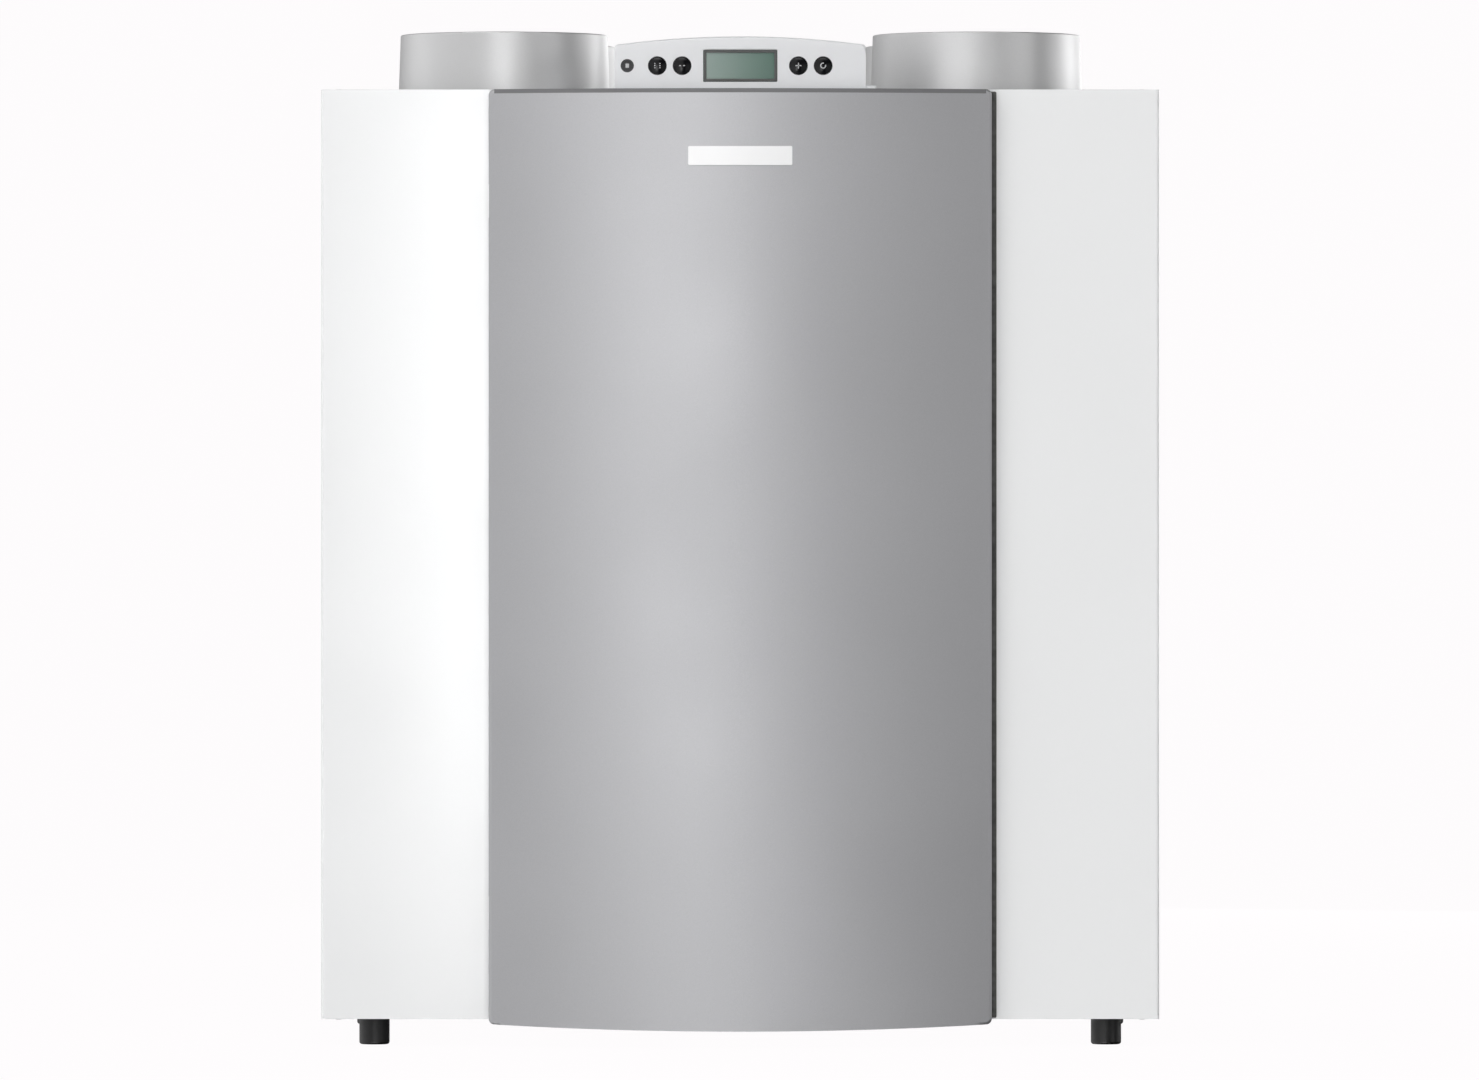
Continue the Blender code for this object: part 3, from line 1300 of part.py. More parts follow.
def fan_motor(word, side):
    """Stator on a flange behind the scroll, with its electronics can."""
    scroll_back = FAN_FRONT + FAN_DEPTH + FIT_GAP
    flange_back = scroll_back + MOTOR_FLANGE_THICKNESS
    can_back = flange_back + MOTOR_CAN_LENGTH
    impeller_front = FAN_FRONT + FAN_DEPTH - FAN_WALL - IMPELLER_BACK_GAP - IMPELLER_WIDTH
    stator_front = impeller_front + STATOR_SETBACK
    profile = [
        (0, can_back),
        (MOTOR_CAN_RADIUS, can_back),
        (MOTOR_CAN_RADIUS, flange_back),
        (MOTOR_FLANGE_RADIUS, flange_back),
        (MOTOR_FLANGE_RADIUS, scroll_back),
        (STATOR_RADIUS, scroll_back),
        (STATOR_RADIUS, stator_front),
        (0, stator_front),
    ]
    place = (side * FAN_X, 0, FAN_Z)
    return turned(f"fan_motor_{word}", profile, place, "Y", ZINC_STEEL)


# ---------------------------------------------------------------- condensate
def condensate_tray():
    """Shallow pan under the exchanger, with a rib under the divider and a drain hole."""
    gap = LOOSE_GAP
    half = CHAMBER_HALF - gap
    front, back = FOAM_FRONT + gap, FOAM_SPLIT - TRAY_END_GAP - LOOSE_GAP
    low, high = CHAMBER_FLOOR + FIT_GAP, CHAMBER_FLOOR + TRAY_HEIGHT
    tray = block("condensate_tray", (-half, front, low), (half, back, high), PALE_PLASTIC)
    for word, side in SIDES.items():
        near, far = DIVIDER_HALF / 2, half - TRAY_WALL
        left, right = sorted((side * near, side * far))
        pan = block(
            f"pan_{word}",
            (left, front + TRAY_WALL, low + TRAY_WALL),
            (right, back - TRAY_WALL, high + CUT_OVERLAP),
        )
        cut(tray, pan)
    hole = rod("tray_drain", DRAIN_BORE, low - CUT_OVERLAP, low + CUT_OVERLAP, (DRAIN_X, DRAIN_Y, 0))
    return cut(tray, hole)


def drain_spout():
    """Tube from the tray down through the casing, with a collar under the bottom plate."""
    top = CHAMBER_FLOOR - FIT_GAP
    collar_top = CASE_BOTTOM - FIT_GAP
    collar_bottom = collar_top - DRAIN_FLANGE_THICKNESS
    end = CASE_BOTTOM - DRAIN_LENGTH_BELOW
    profile = [
        (DRAIN_RADIUS, top),
        (DRAIN_RADIUS, collar_top),
        (DRAIN_RADIUS + DRAIN_FLANGE, collar_top),
        (DRAIN_RADIUS + DRAIN_FLANGE, collar_bottom),
        (DRAIN_RADIUS, collar_bottom),
        (DRAIN_RADIUS, end),
        (DRAIN_BORE, end),
        (DRAIN_BORE, top),
    ]
    place = (DRAIN_X, DRAIN_Y, 0)
    return turned("drain_spout", profile, place, colour=DARK_PLASTIC, steps=28, closed=True)


# ---------------------------------------------------------------- electronics
def electronics():
    """Steel tray in the foam's top bay, with the main board and its larger components."""
    half = ELECTRONICS_HALF_WIDTH
    front, back = FOAM_FRONT + ELECTRONICS_FRONT_GAP, FOAM_SPLIT - ELECTRONICS_BACK_GAP
    low = FOAM_TOP - ELECTRONICS_DEPTH + LOOSE_GAP
    high = FOAM_TOP - FOAM_GAP
    tray = block("electronics_tray", (-half, front, low), (half, back, high), ZINC_STEEL)
    hollow = block(
        "tray_hollow",
        (-half + SHEET, front + SHEET, low + SHEET),
        (half - SHEET, back - SHEET, high + CUT_OVERLAP),
    )
    cut(tray, hollow)
    floor = low + SHEET + MAIN_BOARD_RISE
    board_half = half - MAIN_BOARD_SIDE_GAP
    board = block(
        "main_board",
        (-board_half, front + MAIN_BOARD_END_GAP, floor),
        (board_half, back - MAIN_BOARD_END_GAP, floor + BOARD_THICKNESS),
        BOARD_GREEN,
    )
    for word, (across, behind), (wide, deep, tall) in BOARD_BLOCKS:
        centre = (across, front + behind, floor + tall / 2)
        join(board, block_at(word, centre, (wide, deep, tall)))
    radius, tall = CAPACITOR
    centre = (board_half - 2.5 * radius, (front + back) / 2, 0)
    join(board, rod("capacitor", radius, floor, floor + tall, centre, steps=20))


def cable_gland():
    """Gland for the mains lead, between the rear spigots."""
    low = CASE_TOP + FIT_GAP
    nut_top, top = low + GLAND_NUT_HEIGHT, low + GLAND_HEIGHT
    thread_end = FOAM_TOP + LOOSE_GAP
    profile = [
        (GLAND_BORE * 1.5, top),
        (GLAND_DOME_RADIUS - GLAND_BORE / 2, top - GLAND_BORE / 2),
        (GLAND_DOME_RADIUS, nut_top),
        (GLAND_NUT_RADIUS, nut_top),
        (GLAND_NUT_RADIUS, low),
        (GLAND_THREAD_RADIUS, low),
        (GLAND_THREAD_RADIUS, thread_end),
        (GLAND_BORE, thread_end),
        (GLAND_BORE, top),
    ]
    place = (0, SPIGOT_REAR_Y, 0)
    return turned("cable_gland", profile, place, colour=DARK_PLASTIC, steps=24, closed=True)


# ---------------------------------------------------------------- wall mounting
def hanging_rails():
    """Hook on the unit's back, and the wall rail that it hangs on."""
    top = CASE_TOP - RAIL_TOP_DROP
    face = CASE_BACK - SHEET  # just clear of the back plate, between the side panels' flanges
    sheet = RAIL_SHEET
    lip_out = CASE_BACK + HOOK_REACH
    hook = [
        (face, top - RAIL_HEIGHT),
        (face + sheet, top - RAIL_HEIGHT),
        (face + sheet, top - sheet),
        (lip_out - sheet, top - sheet),
        (lip_out - sheet, top - HOOK_DROP),
        (lip_out, top - HOOK_DROP),
        (lip_out, top),
        (face, top),
    ]
    half = RAIL_HALF_WIDTH
    prism("unit_hanger", [hook], "side", -half, half, ZINC_STEEL)
    wall = CASE_BACK + WALL_STANDOFF
    lip = CASE_BACK + RAIL_LIP_REACH
    shelf = top - RAIL_SHELF_DROP
    rail = [
        (wall - sheet, shelf + sheet),
        (lip + sheet, shelf + sheet),
        (lip + sheet, top - sheet - FIT_GAP),
        (lip, top - sheet - FIT_GAP),
        (lip, shelf),
        (wall - sheet, shelf),
        (wall - sheet, top - RAIL_HEIGHT),
        (wall, top - RAIL_HEIGHT),
        (wall, top - HOOK_DROP / 2),
        (wall - sheet, top - HOOK_DROP / 2),
    ]
    long_half = half + RAIL_OVERHANG
    bracket = prism("wall_rail", [rail], "side", -long_half, long_half, ZINC_STEEL)
    low, high = wall - 4 * sheet, wall + CUT_OVERLAP
    for i in (-1, 0, 1):
        centre = (i * WALL_SCREW_PITCH, 0, top - RAIL_HEIGHT + WALL_SCREW_RISE)
        cut(bracket, rod(f"wall_screw_hole_{i + 1}", WALL_SCREW_RADIUS, low, high, centre, "Y", steps=20))


def wall_buffers():
    """Rubber stand-offs that keep the lower back level with the wall rail."""
    front = CASE_BACK - SHEET
    wall = CASE_BACK + WALL_STANDOFF
    for word, side in SIDES.items():
        centre = (side * (HALF_WIDTH - BUFFER_INSET), 0, CASE_BOTTOM + BUFFER_LEVEL)
        rod(f"wall_buffer_{word}", BUFFER_RADIUS, front, wall, centre, "Y", BLACK_RUBBER, steps=24)


# ---------------------------------------------------------------- assembly
for side_word, side_sign in SIDES.items():
    side_panel(side_word, side_sign)
top_plate()
bottom_plate()
back_plate()
feet()
spigots()
door_panel()
name_badge()
door_hardware()
control_panel()
front_foam_body()
rear_foam_body()
service_cover()
exchanger_core()
exchanger_strap()
bypass_duct()
bypass_flap()
bypass_motor()
for side_word, side_sign in SIDES.items():
    filter_cassette(side_word, side_sign)
    fan_scroll(side_word, side_sign)
    fan_impeller(side_word, side_sign)
    fan_motor(side_word, side_sign)
condensate_tray()
drain_spout()
electronics()
cable_gland()
hanging_rails()
wall_buffers()
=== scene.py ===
import math

import bmesh
import bpy
from mathutils import Matrix, Vector


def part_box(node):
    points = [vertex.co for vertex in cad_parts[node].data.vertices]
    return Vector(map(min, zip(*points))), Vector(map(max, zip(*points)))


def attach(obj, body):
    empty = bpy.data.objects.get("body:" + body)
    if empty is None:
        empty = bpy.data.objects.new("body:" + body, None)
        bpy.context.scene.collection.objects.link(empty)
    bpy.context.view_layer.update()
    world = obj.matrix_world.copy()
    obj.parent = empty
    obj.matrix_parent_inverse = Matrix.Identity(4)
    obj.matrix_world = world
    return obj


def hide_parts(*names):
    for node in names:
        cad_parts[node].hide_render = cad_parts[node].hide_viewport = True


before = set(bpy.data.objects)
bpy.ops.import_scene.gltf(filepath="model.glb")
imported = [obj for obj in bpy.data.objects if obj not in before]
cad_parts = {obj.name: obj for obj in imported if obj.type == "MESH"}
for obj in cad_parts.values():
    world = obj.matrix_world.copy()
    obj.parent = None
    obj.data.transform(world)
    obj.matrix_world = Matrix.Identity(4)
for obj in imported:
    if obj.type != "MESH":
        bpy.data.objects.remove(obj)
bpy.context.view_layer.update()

# ---------------------------------------------------------------------------------------------
# Side panels. Each is one 1.2 mm steel sheet bent into the front strip, the side and a rear
# flange, with a narrow hem behind the strip's inner edge, then powder coated white.
SHEET = 0.0012
BEND_RADIUS = 0.0024
HEM_DEPTH = 0.0065
FLANGE_WIDTH = 0.030
WHITE = (0.86, 0.865, 0.87)
NOISE_LOW, NOISE_HIGH = 0.3, 0.7  # nearly all of a noise lies between these


def feed(tree, node, values):
    """Sets a node's sockets, each to a number or a colour, or to another node's output."""
    for socket, value in values.items():
        if isinstance(value, bpy.types.NodeSocket):
            tree.links.new(value, node.inputs[socket])
        else:
            node.inputs[socket].default_value = value


def add_node(tree, kind, values, **options):
    """Adds a node with its options and its sockets set, and gives its outputs."""
    node = tree.nodes.new(kind)
    for option, choice in options.items():
        setattr(node, option, choice)
    feed(tree, node, values)
    return node.outputs


def finish_nodes(name, colour, roughness, metallic=0.0):
    """A new material with its node tree, its shader and the piece's own coordinates."""
    finish = bpy.data.materials.new(name)
    finish.use_nodes = True
    finish.diffuse_color = (*colour, 1.0)
    tree = finish.node_tree
    shader = tree.nodes["Principled BSDF"]
    feed(tree, shader, {"Base Color": (*colour, 1.0), "Roughness": roughness, "Metallic": metallic})
    return finish, tree, shader, add_node(tree, "ShaderNodeTexCoord", {})["Object"]


def grain(tree, place, scale, detail=2.0, stretch=(1, 1, 1)):
    """Noise at a number of waves for each metre, stretched along the axes."""
    stretched = add_node(tree, "ShaderNodeMapping", {"Vector": place, "Scale": stretch})["Vector"]
    values = {"Vector": stretched, "Scale": scale, "Detail": detail}
    return add_node(tree, "ShaderNodeTexNoise", values)["Fac"]


def spread(tree, value, low, high):
    """Noise values stretched to run from low to high."""
    span = {"Value": value, "From Min": NOISE_LOW, "From Max": NOISE_HIGH, "To Min": low, "To Max": high}
    return add_node(tree, "ShaderNodeMapRange", span)["Result"]


def times(colour, strength):
    return [c * strength for c in colour]


def shades(tree, factor, start, end):
    """A colour that runs from start to end as factor runs from 0 to 1."""
    values = {"Factor": factor, "A": (*start, 1.0), "B": (*end, 1.0)}
    return add_node(tree, "ShaderNodeMix", values, data_type="RGBA")["Result"]


def tint(tree, shader, value, colour, low, high):
    """Lets the base colour drift between two strengths of itself."""
    drift = shades(tree, spread(tree, value, 0.0, 1.0), times(colour, low), times(colour, high))
    feed(tree, shader, {"Base Color": drift})


def gloss(tree, shader, value, low, high):
    """Lets the roughness drift between two values."""
    feed(tree, shader, {"Roughness": spread(tree, value, low, high)})


def relief(tree, shader, value, depth, onto=None):
    """Bump of a depth in metres, laid over an earlier one if there is one."""
    values = {"Height": value, "Strength": 1.0, "Distance": depth}
    if onto is not None:
        values["Normal"] = onto
    bump = add_node(tree, "ShaderNodeBump", values)["Normal"]
    feed(tree, shader, {"Normal": bump})
    return bump


def powder_coat(name, colour, roughness, metallic=0.0, flake=0.0):
    """Baked powder paint: orange peel, a slow drift of gloss, and flakes if it is a metallic one."""
    finish, tree, shader, place = finish_nodes(name, colour, roughness, metallic)
    gloss(tree, shader, grain(tree, place, 9), roughness - 0.03, roughness + 0.03)
    specks = grain(tree, place, 2600 if flake else 5, detail=1.0)
    tint(tree, shader, specks, colour, 1 - flake - 0.006, 1 + flake + 0.006)
    peel = relief(tree, shader, grain(tree, place, 620, detail=1.5), 0.00002)
    relief(tree, shader, grain(tree, place, 45, detail=1.0), 0.00004, onto=peel)
    return finish


def rounded(corners, radius=0, steps=5):
    """A closed outline with each corner turned into an arc. A corner may bring its own radius."""
    outline = []
    count = len(corners)
    for i, corner in enumerate(corners):
        here = Vector(corner[:2])
        bend = corner[2] if len(corner) > 2 else radius
        back = (Vector(corners[i - 1][:2]) - here).normalized()
        ahead = (Vector(corners[(i + 1) % count][:2]) - here).normalized()
        half = back.angle(ahead) / 2
        if bend <= 0 or half > math.radians(89):
            outline.append(tuple(here))
            continue
        reach = bend / math.tan(half)
        centre = here + (back + ahead).normalized() * (bend / math.sin(half))
        first, last = here + back * reach - centre, here + ahead * reach - centre
        turn = first.angle_signed(last)
        for step in range(steps + 1):
            arm = Matrix.Rotation(-turn * step / steps, 2) @ first
            outline.append(tuple(centre + arm))
    return outline


FACING = {  # outline's two axes and its thickness as columns
    "plan": Matrix.Identity(4),
    "front": Matrix(((1, 0, 0, 0), (0, 0, -1, 0), (0, 1, 0, 0), (0, 0, 0, 1))),
    "side": Matrix(((0, 0, 1, 0), (1, 0, 0, 0), (0, 1, 0, 0), (0, 0, 0, 1))),
}
THICKNESS_SIGN = {"plan": 1, "front": -1, "side": 1}


def cut_from_sheet(outlines, facing, low, high, edge=0.0002):
    """A mesh made of flat outlines, holes among them, from low to high, with broken edges."""
    drawing = bpy.data.curves.new("drawing", "CURVE")
    drawing.dimensions = "2D"
    drawing.fill_mode = "BOTH"
    drawing.extrude = (high - low) / 2 - edge
    drawing.bevel_depth = edge
    drawing.bevel_resolution = 1
    drawing.offset = -edge
    for outline in outlines:
        line = drawing.splines.new("POLY")
        line.points.add(len(outline) - 1)
        for point, (across, up) in zip(line.points, outline):
            point.co = (across, up, 0, 1)
        line.use_cyclic_u = True
    drawn = bpy.data.objects.new("drawing", drawing)
    bpy.context.scene.collection.objects.link(drawn)
    bpy.context.view_layer.update()
    mesh = bpy.data.meshes.new_from_object(drawn.evaluated_get(bpy.context.evaluated_depsgraph_get()))
    bpy.data.objects.remove(drawn)
    middle = (low + high) / 2 * THICKNESS_SIGN[facing]
    mesh.transform(FACING[facing] @ Matrix.Translation((0, 0, middle)))
    shell = bmesh.new()
    shell.from_mesh(mesh)
    bmesh.ops.remove_doubles(shell, verts=shell.verts, dist=0.000002)
    bmesh.ops.recalc_face_normals(shell, faces=shell.faces)
    shell.to_mesh(mesh)
    shell.free()
    return mesh


def fit(name, mesh, finish, body, stands_for=(), crease=32):
    """Puts a finished mesh on its body, and hides the solids it stands for."""
    mesh.name = name
    obj = bpy.data.objects.new(name, mesh)
    bpy.context.scene.collection.objects.link(obj)
    mesh.materials.clear()
    mesh.materials.append(finish)
    mesh.shade_smooth()
    mesh.set_sharp_from_angle(angle=math.radians(crease))
    level_faces = obj.modifiers.new("level_faces", "WEIGHTED_NORMAL")  # keeps flat faces flat in the gloss
    level_faces.keep_sharp = True
    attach(obj, body)
    if stands_for:
        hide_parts(*stands_for)
    return obj


WHITE_COAT = powder_coat("white_powder_coat", WHITE, 0.15)
for word, side in (("left", -1), ("right", 1)):
    name = f"{word}_side_panel"
    low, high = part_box(name)
    outer, inner = (low.x, high.x) if side < 0 else (high.x, low.x)
    front, back = low.y, high.y
    thick = SHEET * side
    hem = front + HEM_DEPTH
    flange = outer - FLANGE_WIDTH * side
    inner_bend = BEND_RADIUS - SHEET
    outline = rounded([
        (inner, hem),
        (inner, front, BEND_RADIUS),
        (outer, front, BEND_RADIUS),
        (outer, back, BEND_RADIUS),
        (flange, back),
        (flange, back - SHEET),
        (outer - thick, back - SHEET, inner_bend),
        (outer - thick, front + SHEET, inner_bend),
        (inner + thick, front + SHEET, inner_bend),
        (inner + thick, hem),
    ])
    panel = cut_from_sheet([outline], "plan", low.z, high.z, edge=0.0003)
    fit(f"{name}_sheet", panel, WHITE_COAT, "cabinet", [name])


# ---------------------------------------------------------------------------------------------
# Top, bottom and back plates. Flat sheets cut by laser, dropped in between the side panels and
# held by cross-recessed screws. The top plate has the collars' holes and two small lead openings.
SCREW_RADIUS = 0.0038
SCREW_HEIGHT = 0.0009
CROSS_LENGTH = 0.0044
CROSS_WIDTH = 0.0010
SCREW_INSET = 0.012
ROUND = 96  # sides of a large round shape
PLATE_CORNER = 0.0015
COLLARS = [f"spigot_{end}_{word}" for end in ("front", "rear") for word in ("left", "right")]
COLLAR_PLAY = 0.0006
COLLAR_WAIST = 0.007  # the hidden flange stands out this far past the collar's foot
RIBBON_INSET = 0.020  # the way for the control panel's flat lead, behind the panel's front
RIBBON_WIDTH = 0.060
RIBBON_DEPTH = 0.014
GLAND_WAY = 0.0084
DRAIN_WAY = 0.0163
RIB_LEVELS = (0.30, 0.36, 0.42, 0.48, 0.54)
RIB_HALF = 0.24
RIB_DEPTH = 0.0009
RIB_WIDTH = 0.012


def circle(centre, radius, steps=ROUND):
    turns = [math.tau * i / steps for i in range(steps)]
    return [(centre[0] + radius * math.cos(a), centre[1] + radius * math.sin(a)) for a in turns]


def rectangle(low_corner, high_corner):
    (x0, y0), (x1, y1) = low_corner, high_corner
    return [(x0, y0), (x1, y0), (x1, y1), (x0, y1)]


def face(node, facing="front", inset=0):
    """The rectangle that a node's box shows in plan or from the front, moved in by inset."""
    low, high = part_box(node)
    up = "y" if facing == "plan" else "z"
    return rectangle(
        (low.x + inset, getattr(low, up) + inset), (high.x - inset, getattr(high, up) - inset)
    )


def middle_of(node):
    """The middle of a node's box."""
    return [(low + high) / 2 for low, high in zip(*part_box(node))]


def half_width(node):
    low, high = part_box(node)
    return (high.x - low.x) / 2


def turned(profile, place=(0, 0, 0), axis="Z", steps=ROUND):
    """A mesh turned from (radius, height) points round an axis through place."""
    spun = bmesh.new()
    line = [spun.verts.new((radius, 0, height)) for radius, height in profile]
    edges = [spun.edges.new(pair) for pair in zip(line, line[1:])]
    bmesh.ops.spin(
        spun, geom=line + edges, cent=(0, 0, 0), axis=(0, 0, 1), angle=math.tau, steps=steps
    )
    bmesh.ops.remove_doubles(spun, verts=spun.verts, dist=0.000002)
    bmesh.ops.dissolve_degenerate(spun, edges=spun.edges, dist=0.000001)
    bmesh.ops.recalc_face_normals(spun, faces=spun.faces)
    mesh = bpy.data.meshes.new("turned")
    spun.to_mesh(mesh)
    spun.free()
    tilt = {"Z": 0, "Y": -math.pi / 2, "-Y": math.pi / 2, "-Z": math.pi}[axis]
    mesh.transform(Matrix.Translation(place) @ Matrix.Rotation(tilt, 4, "X"))
    return mesh


def together(meshes):
    """Several meshes as one."""
    joined = bmesh.new()
    for mesh in meshes:
        joined.from_mesh(mesh)
        bpy.data.meshes.remove(mesh)
    mesh = bpy.data.meshes.new("together")
    joined.to_mesh(mesh)
    joined.free()
    return mesh


def screw_head():
    """A domed cross-recessed head that stands up from z = 0."""
    shares = [(0, 1), (0.5, 0.92), (0.85, 0.6), (1, 0.1), (1, -0.3), (0, -0.3)]
    head = turned([(SCREW_RADIUS * r, SCREW_HEIGHT * z) for r, z in shares], steps=24)
    arm, half = CROSS_LENGTH / 2, CROSS_WIDTH / 2
    cross = []
    for turn in range(4):
        quarter = Matrix.Rotation(math.radians(90 * turn), 2)
        cross += [tuple(quarter @ Vector(point)) for point in ((half, half), (half, arm), (-half, arm))]
    cutter = cut_from_sheet([cross], "plan", SCREW_HEIGHT * 0.35, SCREW_HEIGHT * 2, edge=0.00002)
    return carved(head, [cutter])


def carved(mesh, cutters, operation="DIFFERENCE"):
    """A mesh with other meshes taken out of it, or added to it."""
    piece = bpy.data.objects.new("piece", mesh)
    bpy.context.scene.collection.objects.link(piece)
    tools = []
    for cutter in cutters:
        tool = bpy.data.objects.new("tool", cutter)
        bpy.context.scene.collection.objects.link(tool)
        modifier = piece.modifiers.new("tool", "BOOLEAN")
        modifier.operation = operation
        modifier.object = tool
        tools.append(tool)
    bpy.context.view_layer.update()
    result = bpy.data.meshes.new_from_object(piece.evaluated_get(bpy.context.evaluated_depsgraph_get()))
    for spare in [piece, *tools]:
        used = spare.data
        bpy.data.objects.remove(spare)
        bpy.data.meshes.remove(used)
    return result


HEAD = screw_head()
HEAD.name = "screw_head_pattern"


def screws(name, places, facing, body="cabinet"):
    """One piece with a screw head at each place, facing along an axis."""
    tilt = {
        "+Z": Matrix.Identity(4),
        "-Z": Matrix.Rotation(math.pi, 4, "X"),
        "-Y": Matrix.Rotation(math.pi / 2, 4, "X"),
        "+Y": Matrix.Rotation(-math.pi / 2, 4, "X"),
    }[facing]
    heads = []
    for i, place in enumerate(places):
        head = HEAD.copy()
        spin = Matrix.Rotation(math.radians(37 * i), 4, "Z")
        head.transform(Matrix.Translation(place) @ tilt @ spin)
        heads.append(head)
    return fit(name, together(heads), ZINC, body, crease=40)


def plated_steel(name, colour, roughness, streak=(1, 1, 1), scale=60):
    """Zinc plated or galvanised steel with faint streaks."""
    finish, tree, shader, place = finish_nodes(name, colour, roughness, 1.0)
    cloud = grain(tree, place, scale, detail=4.0, stretch=streak)
    tint(tree, shader, cloud, colour, 0.82, 1.1)
    gloss(tree, shader, cloud, roughness - 0.08, roughness + 0.1)
    relief(tree, shader, grain(tree, place, 900, stretch=streak), 0.00001)
    return finish


ZINC = plated_steel("zinc_plate", (0.62, 0.62, 0.61), 0.38)

top_low, top_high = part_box("top_plate")
collar_foot = half_width(COLLARS[0]) - COLLAR_WAIST
ribbon_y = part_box("control_housing")[0].y + RIBBON_INSET
gland = middle_of("cable_gland")[:2]
holes = [circle(middle_of(node), collar_foot + COLLAR_PLAY) for node in COLLARS]
holes.append(rectangle((-RIBBON_WIDTH / 2, ribbon_y), (RIBBON_WIDTH / 2, ribbon_y + RIBBON_DEPTH)))
holes.append(circle(gland, GLAND_WAY, 32))
outlines = [rounded(face("top_plate", "plan"), PLATE_CORNER), *holes]
top = cut_from_sheet(outlines, "plan", top_low.z, top_high.z)
fit("top_plate_sheet", top, WHITE_COAT, "cabinet", ["top_plate"])
left, right = top_low.x + SCREW_INSET, top_high.x - SCREW_INSET
depths = [top_low.y + 0.020, (top_low.y + top_high.y) / 2, top_high.y - 0.020]
top_places = [(x, y, top_high.z) for x in (left, right) for y in depths]
top_places += [(x, top_high.y - SCREW_INSET, top_high.z) for x in (-0.06, 0.06)]
screws("top_plate_screws", top_places, "+Z")

bottom_low, bottom_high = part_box("bottom_plate")
drain = middle_of("drain_spout")[:2]
outlines = [rounded(face("bottom_plate", "plan"), PLATE_CORNER), circle(drain, DRAIN_WAY, 48)]
bottom = cut_from_sheet(outlines, "plan", bottom_low.z, bottom_high.z)
fit("bottom_plate_sheet", bottom, WHITE_COAT, "cabinet", ["bottom_plate"])
depths = (bottom_low.y + 0.014, bottom_high.y - 0.014)
screws("bottom_plate_screws", [(x, y, bottom_low.z) for x in (left, 0, right) for y in depths], "-Z")

back_low, back_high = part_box("back_plate")
back_sheet = cut_from_sheet([face("back_plate")], "front", back_low.y, back_high.y)
fit("back_plate_sheet", back_sheet, WHITE_COAT, "cabinet", ["back_plate"])
ribs = []
for level in RIB_LEVELS:
    bead = rectangle((-RIB_HALF, level - RIB_WIDTH / 2), (RIB_HALF, level + RIB_WIDTH / 2))
    bead = rounded(bead, RIB_WIDTH / 2 - 0.0001, 8)
    ribs.append(cut_from_sheet([bead], "front", back_high.y - 0.0003, back_high.y + RIB_DEPTH, edge=0.0007))
fit("back_plate_ribs", together(ribs), WHITE_COAT, "cabinet")
flange_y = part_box("left_side_panel")[1].y
flange_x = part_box("right_side_panel")[1].x - FLANGE_WIDTH / 2
levels = [back_low.z + 0.03 + (back_high.z - back_low.z - 0.06) * i / 5 for i in range(6)]
screws("back_flange_screws", [(x, flange_y, z) for x in (-flange_x, flange_x) for z in levels], "+Y")


# ---------------------------------------------------------------------------------------------
# Feet. Four round buffers of moulded black rubber on a steel stud, screwed up into the bottom
# plate. Their edges are rounded, and each sole has a shallow hollow.
FOOT_FILLET = 0.0022


def rubber(name, colour=(0.004, 0.004, 0.0045), roughness=0.36):
    """Moulded rubber with a faint matt skin."""
    finish, tree, shader, place = finish_nodes(name, colour, roughness)
    tint(tree, shader, grain(tree, place, 240), colour, 0.8, 1.35)
    relief(tree, shader, grain(tree, place, 1500), 0.00003)
    gloss(tree, shader, grain(tree, place, 90), roughness - 0.05, roughness + 0.1)
    return finish


BLACK_RUBBER = rubber("black_rubber")


def fillet(centre, radius, start, end, steps=5):
    """Points on an arc of a turned profile, angles in degrees."""
    arms = [math.radians(start + (end - start) * i / steps) for i in range(steps + 1)]
    return [(centre[0] + radius * math.cos(a), centre[1] + radius * math.sin(a)) for a in arms]


for end in ("front", "rear"):
    for word in ("left", "right"):
        node = f"foot_{end}_{word}"
        top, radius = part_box(node)[1].z, half_width(node)
        profile = [(0, top), *fillet((radius - 0.001, top - 0.001), 0.001, 90, 0, 3)]
        profile += fillet((radius - FOOT_FILLET, FOOT_FILLET), FOOT_FILLET, 0, -90)
        profile += [(radius * 0.55, 0), (radius * 0.5, 0.0012), (0, 0.0012)]
        foot = turned(profile, (*middle_of(node)[:2], 0), steps=48)
        fit(f"{node}_rubber", foot, BLACK_RUBBER, "cabinet", [node])


# ---------------------------------------------------------------------------------------------
# Foam bodies. Two mouldings of expanded polypropylene beads that form the air chambers, carry
# the exchanger and the fans, and keep the warm air from the casing.
FOAM_GREY = (0.085, 0.087, 0.090)
BEAD_SIZE = 0.0034


def bead_foam(name, colour):
    """Expanded bead foam: fused round beads with fine dark seams between them."""
    finish, tree, shader, place = finish_nodes(name, colour, 0.86)
    values = {"Vector": place, "Scale": 1 / BEAD_SIZE}
    beads = add_node(tree, "ShaderNodeTexVoronoi", values, feature="DISTANCE_TO_EDGE")["Distance"]
    seam = add_node(tree, "ShaderNodeMapRange", {"Value": beads, "From Max": 0.25})["Result"]
    feed(tree, shader, {"Base Color": shades(tree, seam, times(colour, 0.45), times(colour, 1.25))})
    dimples = relief(tree, shader, seam, 0.0004)
    relief(tree, shader, grain(tree, place, 900), 0.00005, onto=dimples)
    return finish


def coat(finish, *nodes):
    """Gives solids that keep their own shape a better finish."""
    for node in nodes:
        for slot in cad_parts[node].material_slots:
            slot.material = finish


BEAD_FOAM = bead_foam("bead_foam", FOAM_GREY)
coat(BEAD_FOAM, "front_foam_body", "rear_foam_body")


